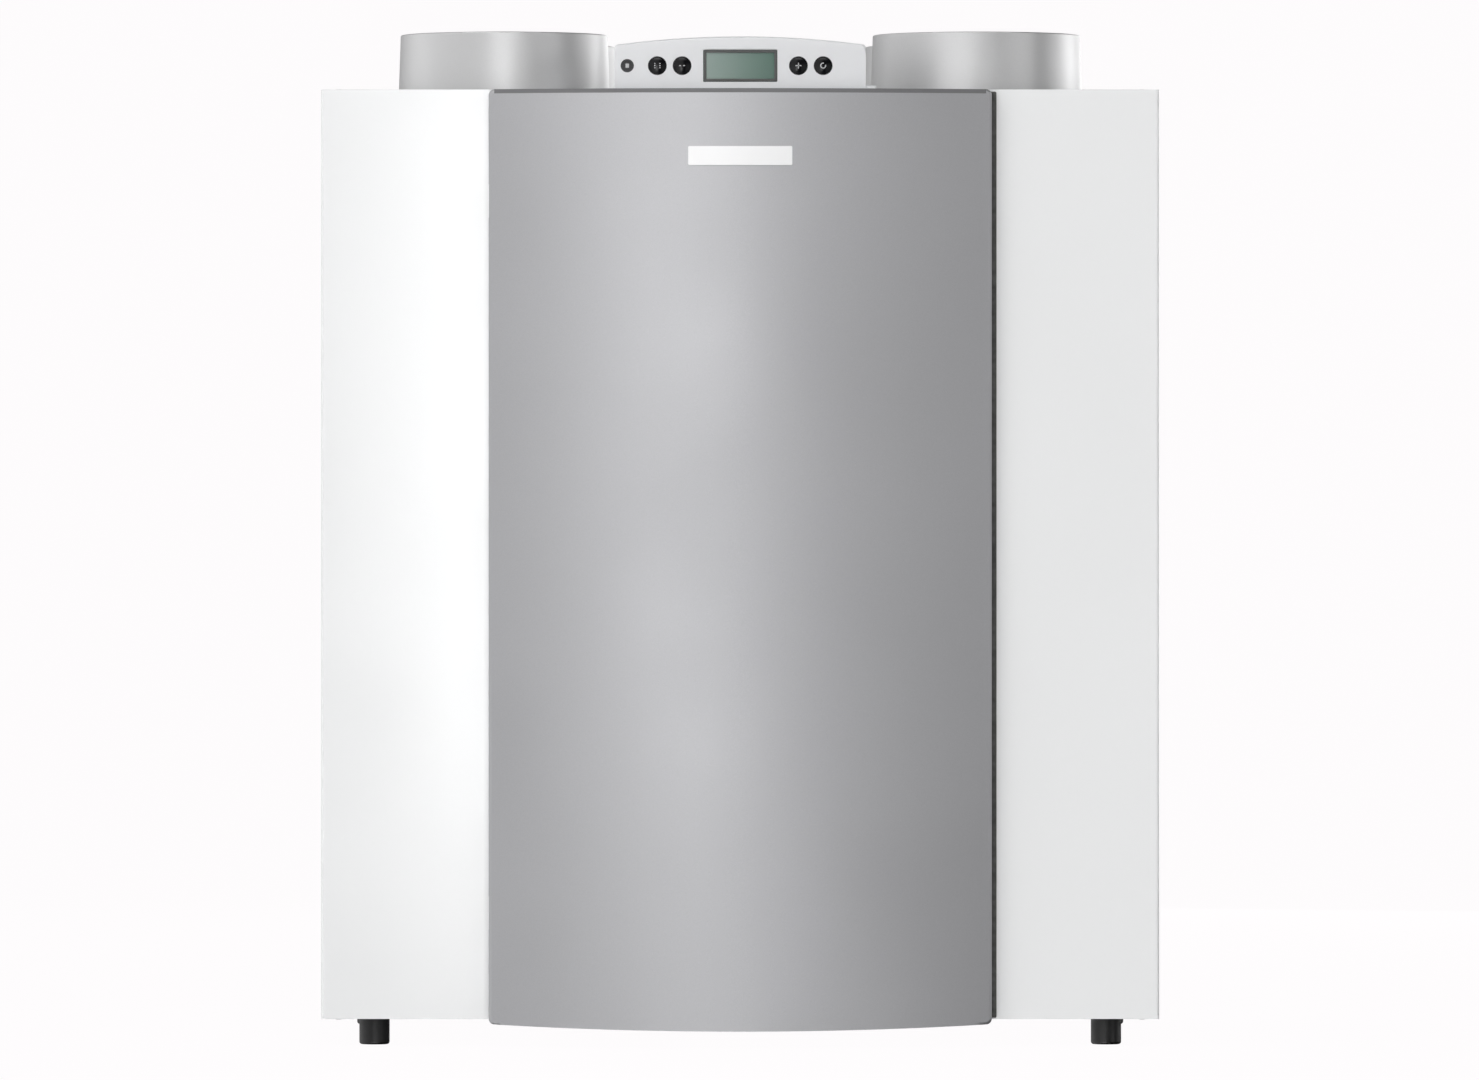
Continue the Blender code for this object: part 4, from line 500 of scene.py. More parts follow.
# ---------------------------------------------------------------------------------------------
# Condensate tray and drain. The tray is vacuum formed from pale sheet and lies on the foam's
# floor. Its spout is moulded in dark plastic, with hose barbs below the casing.
PALE = (0.66, 0.66, 0.63)
SPOUT_BLACK = (0.030, 0.030, 0.032)
SPOUT_RADIUS = 0.016
SPOUT_BORE = 0.012
SPOUT_COLLAR = 0.003
BARBS = 3
BARB_DEPTH = 0.0009


def moulded(name, colour, roughness, texture=1100, depth=0.00002):
    """Injection moulded plastic with a fine spark-eroded texture."""
    finish, tree, shader, place = finish_nodes(name, colour, roughness)
    tint(tree, shader, grain(tree, place, 14), colour, 0.985, 1.015)
    gloss(tree, shader, grain(tree, place, 70), roughness - 0.04, roughness + 0.04)
    relief(tree, shader, grain(tree, place, texture, detail=3.0), depth)
    return finish


PALE_PLASTIC = moulded("pale_plastic", PALE, 0.42)
DARK_PLASTIC = moulded("dark_plastic", SPOUT_BLACK, 0.45)
coat(PALE_PLASTIC, "condensate_tray")

spout_low, spout_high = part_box("drain_spout")
collar_radius = half_width("drain_spout")
collar_high = bottom_low.z - 0.0003
collar_low = collar_high - SPOUT_COLLAR
barb_root = SPOUT_RADIUS - BARB_DEPTH
barb_pitch = (collar_low - spout_low.z - 0.001) / BARBS
profile = [(SPOUT_BORE, spout_high.z), (SPOUT_RADIUS, spout_high.z), (SPOUT_RADIUS, collar_high)]
profile.append((collar_radius, collar_high))
profile += fillet((collar_radius - 0.001, collar_low + 0.001), 0.001, 0, -90, 3)
profile.append((barb_root, collar_low))
for i in range(BARBS):
    top = collar_low - 0.0005 - i * barb_pitch
    profile += [(SPOUT_RADIUS, top - barb_pitch * 0.15), (barb_root, top - barb_pitch * 0.9)]
profile += [(barb_root, spout_low.z), (SPOUT_BORE, spout_low.z), (SPOUT_BORE, spout_high.z)]
spout = turned(profile, (*drain, 0), steps=64)
fit("drain_spout_tube", spout, DARK_PLASTIC, "cabinet", ["drain_spout"])


# ---------------------------------------------------------------------------------------------
# Heat exchanger. A six-sided stack of thin plastic plates, welded in pairs, between two end
# plates and six corner strips. A woven strap pulls it out.
PLATES = 44
PLATE_THICKNESS = 0.0016
END_PLATE = 0.004
CORNER_STRIP = 0.007
STRIP_SINK = 0.0016
SHOULDER = 0.087
WEB_BLACK = (0.020, 0.020, 0.022)
core_low, core_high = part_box("exchanger_core")
core_half, core_apex = core_high.x, (core_high.z - core_low.z) / 2
core_level = (core_high.z + core_low.z) / 2
core_angle = math.atan2(core_apex - SHOULDER, core_half)


def hexagon(inset):
    half = core_half - inset
    apex = core_apex - inset / math.cos(core_angle)
    shoulder = apex - half * math.tan(core_angle)
    upper = [(half, core_level + shoulder), (0, core_level + apex), (-half, core_level + shoulder)]
    return upper + [(x, 2 * core_level - z) for x, z in reversed(upper)]


def plain_prism(outline, facing, low, high):
    """A sharp-edged solid from one outline, without extra edges."""
    solid = bmesh.new()
    ends = []
    for level in (low, high):
        rim = [solid.verts.new((across, up, level * THICKNESS_SIGN[facing])) for across, up in outline]
        ends.append(rim)
        solid.faces.new(rim)
    for i in range(len(outline)):
        j = (i + 1) % len(outline)
        solid.faces.new((ends[0][i], ends[0][j], ends[1][j], ends[1][i]))
    bmesh.ops.recalc_face_normals(solid, faces=solid.faces)
    mesh = bpy.data.meshes.new("prism")
    solid.to_mesh(mesh)
    solid.free()
    mesh.transform(FACING[facing])
    return mesh


stack = [plain_prism(hexagon(0.005), "front", core_low.y + END_PLATE / 2, core_high.y - END_PLATE / 2)]
for y in (core_low.y, core_high.y - END_PLATE):
    stack.append(cut_from_sheet([hexagon(0)], "front", y, y + END_PLATE, edge=0.0006))
pitch = (core_high.y - core_low.y - 2 * END_PLATE) / PLATES
for i in range(PLATES):
    y = core_low.y + END_PLATE + (i + 0.5) * pitch
    stack.append(plain_prism(hexagon(0.0012), "front", y - PLATE_THICKNESS / 2, y + PLATE_THICKNESS / 2))
half = CORNER_STRIP / 2
for x, z in hexagon(0.0035):
    inward = (Vector((0, core_level)) - Vector((x, z))).normalized() * STRIP_SINK
    strip = rounded(rectangle((x - half, z - half), (x + half, z + half)), 0.0030)
    strip = [tuple(Vector(point) + inward) for point in strip]
    stack.append(plain_prism(strip, "front", core_low.y + 0.0005, core_high.y - 0.0005))
fit("exchanger_stack", together(stack), PALE_PLASTIC, "cabinet", ["exchanger_core"])


def webbing(name, colour):
    """Woven flat strap."""
    finish, tree, shader, place = finish_nodes(name, colour, 0.8)
    values = {"Vector": place, "Scale": 220, "Distortion": 1.5}
    weave = add_node(tree, "ShaderNodeTexWave", values, bands_direction="DIAGONAL")["Fac"]
    tint(tree, shader, weave, colour, 0.6, 1.7)
    relief(tree, shader, weave, 0.0002)
    return finish


coat(webbing("strap_webbing", WEB_BLACK), "exchanger_strap")


# ---------------------------------------------------------------------------------------------
# Bypass. A flat moulded duct behind the exchanger, a balanced flap on a shaft and the small
# gear motor that turns it.
def softened(mesh, width, segments=3, angle=40, only=None):
    """A mesh with its sharp edges rounded, or only those that a test picks."""
    shape = bmesh.new()
    shape.from_mesh(mesh)
    bmesh.ops.remove_doubles(shape, verts=shape.verts, dist=0.000002)
    bmesh.ops.dissolve_limit(
        shape, angle_limit=math.radians(1), verts=shape.verts, edges=shape.edges, delimit={"NORMAL"}
    )
    picked = [
        edge
        for edge in shape.edges
        if len(edge.link_faces) == 2
        and edge.calc_face_angle(0) > math.radians(angle)
        and (only is None or only(edge))
    ]
    bmesh.ops.bevel(
        shape, geom=picked, offset=width, segments=segments, profile=0.5, affect="EDGES", clamp_overlap=True
    )
    shape.to_mesh(mesh)
    shape.free()
    return mesh


def rounded_copy(node, name, width, finish, body, angle=40):
    """The solid of a node with broken edges, in its own finish."""
    mesh = softened(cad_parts[node].data.copy(), width, segments=2, angle=angle)
    return fit(name, mesh, finish, body, [node])


rounded_copy("bypass_duct", "bypass_duct_moulding", 0.0006, PALE_PLASTIC, "cabinet")
rounded_copy("bypass_flap", "bypass_flap_blade", 0.0005, PALE_PLASTIC, "bypass_damper")
rounded_copy("bypass_motor", "bypass_motor_housing", 0.0012, DARK_PLASTIC, "cabinet")


# ---------------------------------------------------------------------------------------------
# Fans. Each has a spiral casing in two welded halves, a wheel with backward curved blades, and
# an outer rotor motor whose flange closes the casing from behind.
BLADES = 19
BLADE = 0.0016
BLADE_SWEEP = 0.75
BLADE_STEPS = 8
HUB_RADIUS = 0.0405
HUB_BORE = 0.0365
INLET_RADIUS = 0.0635
WHEEL_DISC = 0.0022
WHEEL_BLACK = (0.026, 0.027, 0.030)
WHEEL_PLASTIC = moulded("wheel_plastic", WHEEL_BLACK, 0.35)
ALUMINIUM = plated_steel("die_cast_aluminium", (0.56, 0.57, 0.58), 0.45, scale=140)


def blade(centre, radius, turn):
    """The outline of one blade, swept backwards by turn at its tip."""
    camber = []
    for step in range(BLADE_STEPS + 1):
        share = step / BLADE_STEPS
        r = HUB_RADIUS + (radius - 0.001 - HUB_RADIUS) * share
        a = turn[0] - turn[1] * share**1.2
        camber.append((centre[0] + r * math.sin(a), centre[1] + r * math.cos(a)))
    sides = []
    for offset in (BLADE / 2, -BLADE / 2):
        row = []
        for k, point in enumerate(camber):
            ahead = Vector(camber[min(k + 1, BLADE_STEPS)]) - Vector(camber[max(k - 1, 0)])
            row.append(tuple(Vector(point) + Vector((-ahead.y, ahead.x)).normalized() * offset))
        sides.append(row)
    return sides[0] + sides[1][::-1]


def wheel(word, side):
    """Blades between a back disc and a front ring, round an open hub cup."""
    node = f"fan_impeller_{word}"
    centre, radius = middle_of(node), half_width(node)
    front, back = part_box(node)[0].y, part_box(node)[1].y
    plate = back - WHEEL_DISC
    pieces = []
    for i in range(BLADES):
        outline = blade((centre[0], centre[2]), radius, (math.tau * i / BLADES, side * BLADE_SWEEP))
        pieces.append(plain_prism(outline, "front", front + 0.001, back - WHEEL_DISC / 2))
    disc = [
        (HUB_BORE, back),
        (radius, back),
        (radius, plate),
        (HUB_RADIUS + 0.002, plate),
        (HUB_RADIUS, plate - 0.002),
        (HUB_RADIUS, front + 0.0075),
        (HUB_RADIUS - 0.002, front + 0.0055),
        (0, front + 0.0045),
        (0, front + 0.0085),
        (HUB_BORE, front + 0.0085),
        (HUB_BORE, back),
    ]
    ring = [
        (INLET_RADIUS, front),
        (radius, front + 0.001),
        (radius, front + 0.003),
        (INLET_RADIUS + 0.002, front + 0.003),
        (INLET_RADIUS, front + 0.006),
        (INLET_RADIUS - 0.0012, front + 0.006),
        (INLET_RADIUS, front),
    ]
    for outline in (disc, ring):
        pieces.append(turned([(r, -y) for r, y in outline], (centre[0], 0, centre[2]), "-Y"))
    return together(pieces)


for word, side, spin in (("left", -1, "extract_fan_wheel"), ("right", 1, "supply_fan_wheel")):
    node = f"fan_impeller_{word}"
    fit(f"fan_wheel_{word}", wheel(word, side), WHEEL_PLASTIC, spin, [node], crease=30)
    rounded_copy(f"fan_scroll_{word}", f"fan_casing_{word}", 0.0005, DARK_PLASTIC, "cabinet")
    rounded_copy(f"fan_motor_{word}", f"fan_motor_can_{word}", 0.0012, ALUMINIUM, "cabinet")


# ---------------------------------------------------------------------------------------------
# Filters. A pleated fleece in a moulded frame slides in along each upper face of the exchanger.
# A separate moulded cap with a finger grip closes its slot in front.
FILTER_LENGTH = 0.176
FILTER_THICKNESS = 0.032
CAP_RIM = 0.006
CAP_PLATE = 0.003
GRIP_LENGTH = 0.060
GRIP_DEPTH = 0.012
GRIP_BAR = 0.0032
CAP_BLACK = (0.030, 0.030, 0.033)
FLEECE = (0.74, 0.74, 0.72)
PLEATS = 22
FLEECE_THICKNESS = 0.0014
FLEECE_MARGIN = 0.0035  # between the folds' crests and the frame's faces
GRIP_HALF_HEIGHT = 0.006
RIDGES = 5


def fleece_finish():
    """Loose white fibres pressed into a fleece."""
    finish, tree, shader, place = finish_nodes("filter_fleece", FLEECE, 0.95)
    fibres = grain(tree, place, 700, detail=6.0, stretch=(1, 3, 1))
    tint(tree, shader, fibres, FLEECE, 0.8, 1.08)
    relief(tree, shader, fibres, 0.00025)
    shader.inputs["Sheen Weight"].default_value = 0.25
    return finish


CAP_PLASTIC = moulded("filter_cap_plastic", CAP_BLACK, 0.4)
FILTER_FLEECE = fleece_finish()


def block(half_length, half_height, corner, steps=5):
    """A rectangle round the origin, with round corners."""
    return rounded(rectangle((-half_length, -half_height), (half_length, half_height)), corner, steps)


def folded_fleece(length):
    """The zigzag band of cloth, laid flat round the origin."""
    step = length / (2 * PLEATS)
    crest = FILTER_THICKNESS / 2 - FLEECE_MARGIN
    upper = [(-length / 2 + i * step, crest if i % 2 else -crest) for i in range(2 * PLEATS + 1)]
    band = upper + [(y, z - FLEECE_THICKNESS) for y, z in reversed(upper)]
    half = FILTER_LENGTH / 2 - 0.0085
    return plain_prism(band, "side", -half, half)


def filter_cap(front, back):
    """Cap plate with a shallow tray, plug, finger grip and ridges, round the origin."""
    plate_front = front + GRIP_DEPTH - CAP_PLATE
    plate_back = plate_front + CAP_PLATE
    half_length, half_height = FILTER_LENGTH / 2, FILTER_THICKNESS / 2
    plate = block(half_length + CAP_RIM, half_height + CAP_RIM, 0.006)
    tray = block(half_length - 0.004, half_height - 0.004, 0.004)
    plug = block(half_length, half_height, 0.002)
    shapes = [
        cut_from_sheet([plate], "front", plate_front + 0.0008, plate_back, edge=0.0007),
        cut_from_sheet([plate, tray], "front", plate_front, plate_front + 0.0014, edge=0.0006),
        cut_from_sheet([plug], "front", plate_back - 0.0004, back, edge=0.0006),
    ]
    grip = GRIP_LENGTH / 2
    loop = rounded(rectangle((-grip, front), (grip, plate_front + 0.0014)), 0.004)
    inner = grip - 2 * GRIP_BAR
    finger = rounded(rectangle((-inner, front + GRIP_BAR), (inner, plate_front + 0.0004)), 0.0015)
    shapes.append(cut_from_sheet([loop, finger], "plan", -GRIP_HALF_HEIGHT, GRIP_HALF_HEIGHT, edge=0.0010))
    for i in range(RIDGES):
        for end in (-1, 1):
            across = end * (half_length - 0.012 - 0.006 * i)
            ridge = rounded(rectangle((across - 0.0009, -0.009), (across + 0.0009, 0.009)), 0.0008, 3)
            shapes.append(cut_from_sheet([ridge], "front", plate_front, plate_front + 0.0012, edge=0.0004))
    return together(shapes)


for word, side in (("left", -1), ("right", 1)):
    node = f"filter_frame_{word}"
    frame_low, frame_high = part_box(node)
    middle = (frame_low + frame_high) / 2
    lean = Matrix.Rotation(side * core_angle, 4, "Y")
    rounded_copy(node, f"filter_{word}_frame", 0.0008, PALE_PLASTIC, "cabinet")
    fleece = folded_fleece(frame_high.y - frame_low.y - 0.019)
    fleece.transform(Matrix.Translation(middle) @ lean)
    fit(f"filter_{word}_fleece", fleece, FILTER_FLEECE, "cabinet", [f"filter_media_{word}"])
    cap_low, cap_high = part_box(f"filter_cap_{word}")
    cap = filter_cap(cap_low.y, cap_high.y)
    cap.transform(Matrix.Translation((middle.x, 0, middle.z)) @ lean)
    fit(f"filter_{word}_cap", cap, CAP_PLASTIC, "cabinet", [f"filter_cap_{word}"])


# ---------------------------------------------------------------------------------------------
# Electronics. A bent steel tray in the top bay, the main board with its parts, the key board
# behind the control panel, and the gland where the mains lead comes in.
BOARD_COLOUR = (0.018, 0.115, 0.050)
COPPER_TRACKS = 140
GLAND_HEX = 0.0118
GLAND_BORE = 0.0040
GLAND_NECK = 0.0079
GLAND_SHOULDER = 0.0100
GLAND_CROWN = 0.0066
FLUTES = 18


def board_finish():
    """Green solder mask over tracks that run in two directions."""
    finish, tree, shader, place = finish_nodes("circuit_board", BOARD_COLOUR, 0.3)
    colours = {
        "Color1": (*BOARD_COLOUR, 1.0),
        "Color2": (*times(BOARD_COLOUR, 0.8), 1.0),
        "Mortar": (*times(BOARD_COLOUR, 1.9), 1.0),
    }
    values = {"Vector": place, "Scale": COPPER_TRACKS, "Mortar Size": 0.06, **colours}
    tracks = add_node(tree, "ShaderNodeTexBrick", values)
    feed(tree, shader, {"Base Color": tracks["Color"]})
    relief(tree, shader, tracks["Fac"], 0.00005)
    return finish


CIRCUIT_BOARD = board_finish()
rounded_copy("electronics_tray", "electronics_tray_sheet", 0.0004, ZINC, "cabinet")
rounded_copy("main_board", "main_board_card", 0.0003, CIRCUIT_BOARD, "cabinet")
rounded_copy("control_board", "control_board_card", 0.0002, CIRCUIT_BOARD, "cabinet")

gland_low, gland_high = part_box("cable_gland")
nut_low, nut_high = top_high.z + 0.0003, top_high.z + 0.0083
corners = [math.radians(60 * i + 30) for i in range(6)]
hexes = [(gland[0] + GLAND_HEX * math.cos(a), gland[1] + GLAND_HEX * math.sin(a)) for a in corners]
nut = cut_from_sheet([hexes, circle(gland, GLAND_BORE, 32)], "plan", nut_low, nut_high - 0.002, edge=0.0007)
dome = [
    (GLAND_BORE, gland_low.z),
    (GLAND_BORE, gland_high.z),
    (GLAND_BORE * 1.4, gland_high.z),
    *fillet((GLAND_CROWN, gland_high.z - 0.0034), 0.0034, 80, 0),
    (GLAND_SHOULDER, nut_high - 0.002),
    (GLAND_NECK, nut_low + 0.001),
    (GLAND_NECK, gland_low.z),
    (GLAND_BORE, gland_low.z),
]
flutes = []
for i in range(FLUTES):
    a = math.tau * i / FLUTES
    x, y = gland[0] + 0.0103 * math.cos(a), gland[1] + 0.0103 * math.sin(a)
    flutes.append(plain_prism(circle((x, y), 0.0007, 10), "plan", nut_high, gland_high.z - 0.004))
dome = carved(turned(dome, (*gland, 0), steps=72), flutes)
fit("cable_gland_nut", together([nut, dome]), DARK_PLASTIC, "cabinet", ["cable_gland"])


# ---------------------------------------------------------------------------------------------
# Service cover. A white sheet behind the door with two slanted filter slots and long pressed
# beads, held by eight screws, with a foam lining glued to its inside.
SLOT_PLAY = 0.001
BEAD_LEVELS = (0.100, 0.135, 0.170, 0.205)
BEAD_HALF = 0.140
BEAD_RISE = 0.0012
BEAD_WIDTH = 0.010
COVER_SCREW = 0.176
cover_low, cover_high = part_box("service_cover")
half_length, half_height = FILTER_LENGTH / 2 + SLOT_PLAY, FILTER_THICKNESS / 2 + SLOT_PLAY
slots = []
for word, side in (("left", -1), ("right", 1)):
    x, _, z = middle_of(f"filter_frame_{word}")
    turn = Matrix.Rotation(-side * core_angle, 2)
    opening = block(half_length, half_height, 0.0012, 3)
    slots.append([tuple(Vector((x, z)) + turn @ Vector(point)) for point in opening])
cover = cut_from_sheet([rounded(face("service_cover"), 0.003), *slots], "front", cover_low.y, cover_high.y)
fit("service_cover_sheet", cover, WHITE_COAT, "cabinet", ["service_cover"])
beads = []
for level in BEAD_LEVELS:
    bead = rectangle((-BEAD_HALF, level - BEAD_WIDTH / 2), (BEAD_HALF, level + BEAD_WIDTH / 2))
    bead = rounded(bead, BEAD_WIDTH / 2 - 0.0001, 8)
    beads.append(cut_from_sheet([bead], "front", cover_low.y - BEAD_RISE, cover_low.y + 0.0005, edge=0.0008))
fit("service_cover_beads", together(beads), WHITE_COAT, "cabinet")
rows = [cover_low.z + SCREW_INSET, cover_low.z + 0.26, cover_low.z + 0.48, cover_high.z - SCREW_INSET]
places = [(x, cover_low.y, z) for x in (-COVER_SCREW, COVER_SCREW) for z in rows]
screws("service_cover_screws", places, "-Y")
coat(BEAD_FOAM, "cover_insulation")


# ---------------------------------------------------------------------------------------------
# Wall mounting. A hook of folded galvanised steel across the unit's back drops over the lip of
# the rail that is screwed to the wall. Two rubber buffers keep the lower back off the wall.
GALVANISED = plated_steel("galvanised_steel", (0.60, 0.61, 0.62), 0.42, streak=(0.3, 1, 1), scale=35)
FOLD_SHEET = 0.002
FOLD = 0.0012
HOOK_LIP = 0.020
HOOK_CLEAR = 0.0003
RAIL_SHELF = 0.030
WALL_SCREW = 0.004
WALL_SCREW_PITCH = 0.200
DRILL_REACH = 0.010


def drill(radius):
    """Profile of a round cutter that reaches to both sides of where it is set."""
    return [(0, -DRILL_REACH), (radius, -DRILL_REACH), (radius, DRILL_REACH), (0, DRILL_REACH)]


FOLD_OUTSIDE = FOLD + FOLD_SHEET
HOOK_SCREWS = (-0.24, -0.10, 0.10, 0.24)
SCREW_LINE = 0.018  # the screws' level above the lower edge of the hook and of the rail

hanger_low, hanger_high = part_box("unit_hanger")
front, back, top = hanger_low.y, hanger_high.y, hanger_high.z
hook = rounded([
    (front, hanger_low.z),
    (front + FOLD_SHEET, hanger_low.z),
    (front + FOLD_SHEET, top - FOLD_SHEET, FOLD),
    (back - FOLD_SHEET, top - FOLD_SHEET, FOLD),
    (back - FOLD_SHEET, top - HOOK_LIP),
    (back, top - HOOK_LIP),
    (back, top, FOLD_OUTSIDE),
    (front, top, FOLD_OUTSIDE),
])
hanger = cut_from_sheet([hook], "side", hanger_low.x, hanger_high.x, edge=0.0002)
fit("unit_hanger_hook", hanger, GALVANISED, "cabinet", ["unit_hanger"])
places = [(x, front + FOLD_SHEET, hanger_low.z + SCREW_LINE) for x in HOOK_SCREWS]
screws("unit_hanger_screws", places, "+Y")

rail_low, rail_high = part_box("wall_rail")
lip, shelf, wall = rail_low.y, top - RAIL_SHELF, rail_high.y
rail = rounded([
    (wall - FOLD_SHEET, shelf + FOLD_SHEET, FOLD),
    (lip + FOLD_SHEET, shelf + FOLD_SHEET, FOLD),
    (lip + FOLD_SHEET, top - FOLD_SHEET - HOOK_CLEAR),
    (lip, top - FOLD_SHEET - HOOK_CLEAR),
    (lip, shelf, FOLD_OUTSIDE),
    (wall - FOLD_SHEET, shelf, FOLD),
    (wall - FOLD_SHEET, rail_low.z),
    (wall, rail_low.z),
    (wall, rail_high.z),
    (wall - FOLD_SHEET, rail_high.z),
])
rail = cut_from_sheet([rail], "side", rail_low.x, rail_high.x, edge=0.0002)
keyholes = []
for x in (-WALL_SCREW_PITCH, 0, WALL_SCREW_PITCH):
    keyholes.append(turned(drill(WALL_SCREW), (x, wall, rail_low.z + SCREW_LINE), "Y", steps=40))
fit("wall_rail_profile", carved(rail, keyholes), GALVANISED, "cabinet", ["wall_rail"])

for word in ("left", "right"):
    node = f"wall_buffer_{word}"
    low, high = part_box(node)
    radius = half_width(node)
    x, _, z = middle_of(node)
    profile = [
        (0, low.y),
        (radius, low.y),
        (radius, low.y + 0.0045),
        *fillet((radius, low.y + 0.0065), 0.0016, -90, -270, 6),
        *fillet((radius - 0.002, high.y - 0.002), 0.002, 0, 90, 4),
        (0.004, high.y),
        (0.0035, high.y - 0.0015),
        (0, high.y - 0.0015),
    ]
    pad = turned([(r, -y) for r, y in profile], (x, 0, z), "-Y", steps=48)
    fit(f"{node}_pad", pad, BLACK_RUBBER, "cabinet", [node])


# ---------------------------------------------------------------------------------------------
# Duct collars. Tapered rings of satin grey metal with a rolled rim, clamped from below by a
# flange. A black foam gasket closes the gap to the top plate.
COLLAR_BORE = 0.080
COLLAR_TAPER = 0.0016
COLLAR_RIM = 0.0011
GASKET_HEIGHT = 0.0014
GASKET_WIDTH = 0.0035
COLLAR_GREY = (0.60, 0.60, 0.605)


def satin_metal(name, colour, roughness, metallic):
    """Metal effect paint, smoother than powder coat."""
    finish, tree, shader, place = finish_nodes(name, colour, roughness, metallic)
    tint(tree, shader, grain(tree, place, 2400, detail=1.0), colour, 0.96, 1.04)
    gloss(tree, shader, grain(tree, place, 26, stretch=(1, 1, 0.4)), roughness - 0.04, roughness + 0.04)
    relief(tree, shader, grain(tree, place, 500, detail=1.0), 0.000015)
    return finish


COLLAR_METAL = satin_metal("collar_metal", COLLAR_GREY, 0.43, 0.72)
flange_top = top_low.z - 0.0003
gasket_low, gasket_high = top_high.z + 0.0001, top_high.z + GASKET_HEIGHT
for node in COLLARS:
    low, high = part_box(node)
    rim = collar_foot - COLLAR_TAPER
    roll = high.z - COLLAR_RIM
    profile = [
        (COLLAR_BORE, low.z),
        (COLLAR_BORE, roll),
        *fillet((COLLAR_BORE + COLLAR_RIM, roll), COLLAR_RIM, 180, 90),
        *fillet((rim - COLLAR_RIM, roll), COLLAR_RIM, 90, 0),
        (collar_foot, top_high.z),
        (collar_foot, flange_top),
        (collar_foot + COLLAR_WAIST, flange_top),
        (collar_foot + COLLAR_WAIST, low.z),
        (COLLAR_BORE, low.z),
    ]
    place = (*middle_of(node)[:2], 0)
    fit(f"{node}_collar", turned(profile, place, steps=128), COLLAR_METAL, "cabinet", [node])
    gasket = [
        (collar_foot + 0.0001, gasket_low),
        (collar_foot + GASKET_WIDTH, gasket_low),
        *fillet((collar_foot + GASKET_WIDTH - 0.0006, gasket_high - 0.0006), 0.0006, 0, 90, 3),
        (collar_foot + 0.0001, gasket_high),
        (collar_foot + 0.0001, gasket_low),
    ]
    fit(f"{node}_gasket", turned(gasket, place), BLACK_RUBBER, "cabinet")


# ---------------------------------------------------------------------------------------------
# Control panel. A moulded light housing with an arched top and rounded front edges, screwed to
# the top plate. A small foot sticks out at its right.
HOUSING_COLOUR = (0.78, 0.785, 0.80)
HOUSING_ROUND = 0.0022
HOUSING_RISE = 0.0064
HOUSING_WALL = 0.002
HOUSING_TAB = 0.0085
KEYS = ("menu", "minus", "plus", "reset")
KEY_COLLAR = 0.0014  # the cap's hidden flange, wider than the cap
KEY_PLAY = 0.0004
SOCKET_WAY = 0.005
LCD_PLAY = 0.0003
HOUSING_PLASTIC = moulded("housing_plastic", HOUSING_COLOUR, 0.38)
housing_low, housing_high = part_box("control_housing")
housing_half = -housing_low.x
housing_side_top = housing_high.z - HOUSING_RISE


def housing_outline(inset, base):
    """The housing's front view, moved in by inset."""
    half, corner = housing_half - inset, 0.0030 - inset * 0.5
    top = housing_side_top - inset
    reach = half - corner
    points = [(-half, base), (half, base)]
    points += fillet((reach, top - corner), corner, 0, 80, 4)
    for i in range(1, 32):
        x = reach - 2 * reach * i / 32
        points.append((x, top + HOUSING_RISE * (1 - (x / reach) ** 2)))
    points += fillet((-reach, top - corner), corner, 100, 180, 4)
    return points


housing_front, housing_back = housing_low.y, housing_high.y
body_shape = plain_prism(housing_outline(0, housing_low.z), "front", housing_front, housing_back)
body_shape = softened(
    body_shape,
    HOUSING_ROUND,
    only=lambda edge: abs(edge.verts[0].co.y - edge.verts[1].co.y) < 0.0001
    and min(v.co.z for v in edge.verts) > housing_low.z + 0.001,
)
tab_inner, tab_outer = housing_half - 0.004, housing_half + HOUSING_TAB
tab_front, tab_back = housing_front + 0.001, housing_front + 0.036
tab = rounded([
    (tab_inner, tab_front),
    (tab_outer, tab_front, 0.002),
    (tab_outer, tab_back, 0.002),
    (tab_inner, tab_back),
])
tab = cut_from_sheet([tab], "plan", housing_low.z, housing_low.z + 0.003, edge=0.0006)
hollow = housing_outline(HOUSING_WALL, housing_low.z - 0.01)
hollow = plain_prism(hollow, "front", housing_front + HOUSING_WALL, housing_back - HOUSING_WALL)
key_radius = half_width("button_menu") - KEY_COLLAR
key_level = middle_of("button_menu")[2]
socket_x = middle_of("service_socket")[0]
ways = [(middle_of(f"button_{key}")[0], key_radius + KEY_PLAY) for key in KEYS]
ways.append((socket_x, SOCKET_WAY))
openings = [turned(drill(radius), (x, housing_front, key_level), "Y", steps=64) for x, radius in ways]
window = rounded(face("lcd_bezel", inset=-LCD_PLAY), 0.0008)
openings.append(plain_prism(window, "front", housing_front - 0.01, housing_front + 0.01))
housing = carved(carved(body_shape, [tab], "UNION"), [hollow, *openings])
stands_for = ["control_housing"]
fit("control_housing_shell", housing, HOUSING_PLASTIC, "cabinet", stands_for, crease=30)
foot_screw = (housing_half + HOUSING_TAB / 2 + 0.0004, housing_front + 0.028, housing_low.z + 0.003)
screws("control_foot_screw", [foot_screw], "+Z")


# ---------------------------------------------------------------------------------------------
# Keys. Four glossy black domed caps of pad-printed plastic, sprung from behind. Each carries a
# plain mark: bars, a minus, a plus and an open ring.
KEY_BLACK = (0.003, 0.003, 0.004)
KEY_EDGE = 0.0005  # rounding of the cap's rim
KEY_FLANGE = (-0.0037, -0.0047)  # levels of the hidden flange, from the crown
KEY_STEM = 0.0022
MARK_GREY = (0.52, 0.52, 0.53)
MARK_HEIGHT = 0.00012
MARK_LINE = 0.0008
DOME_RISE = 0.0009


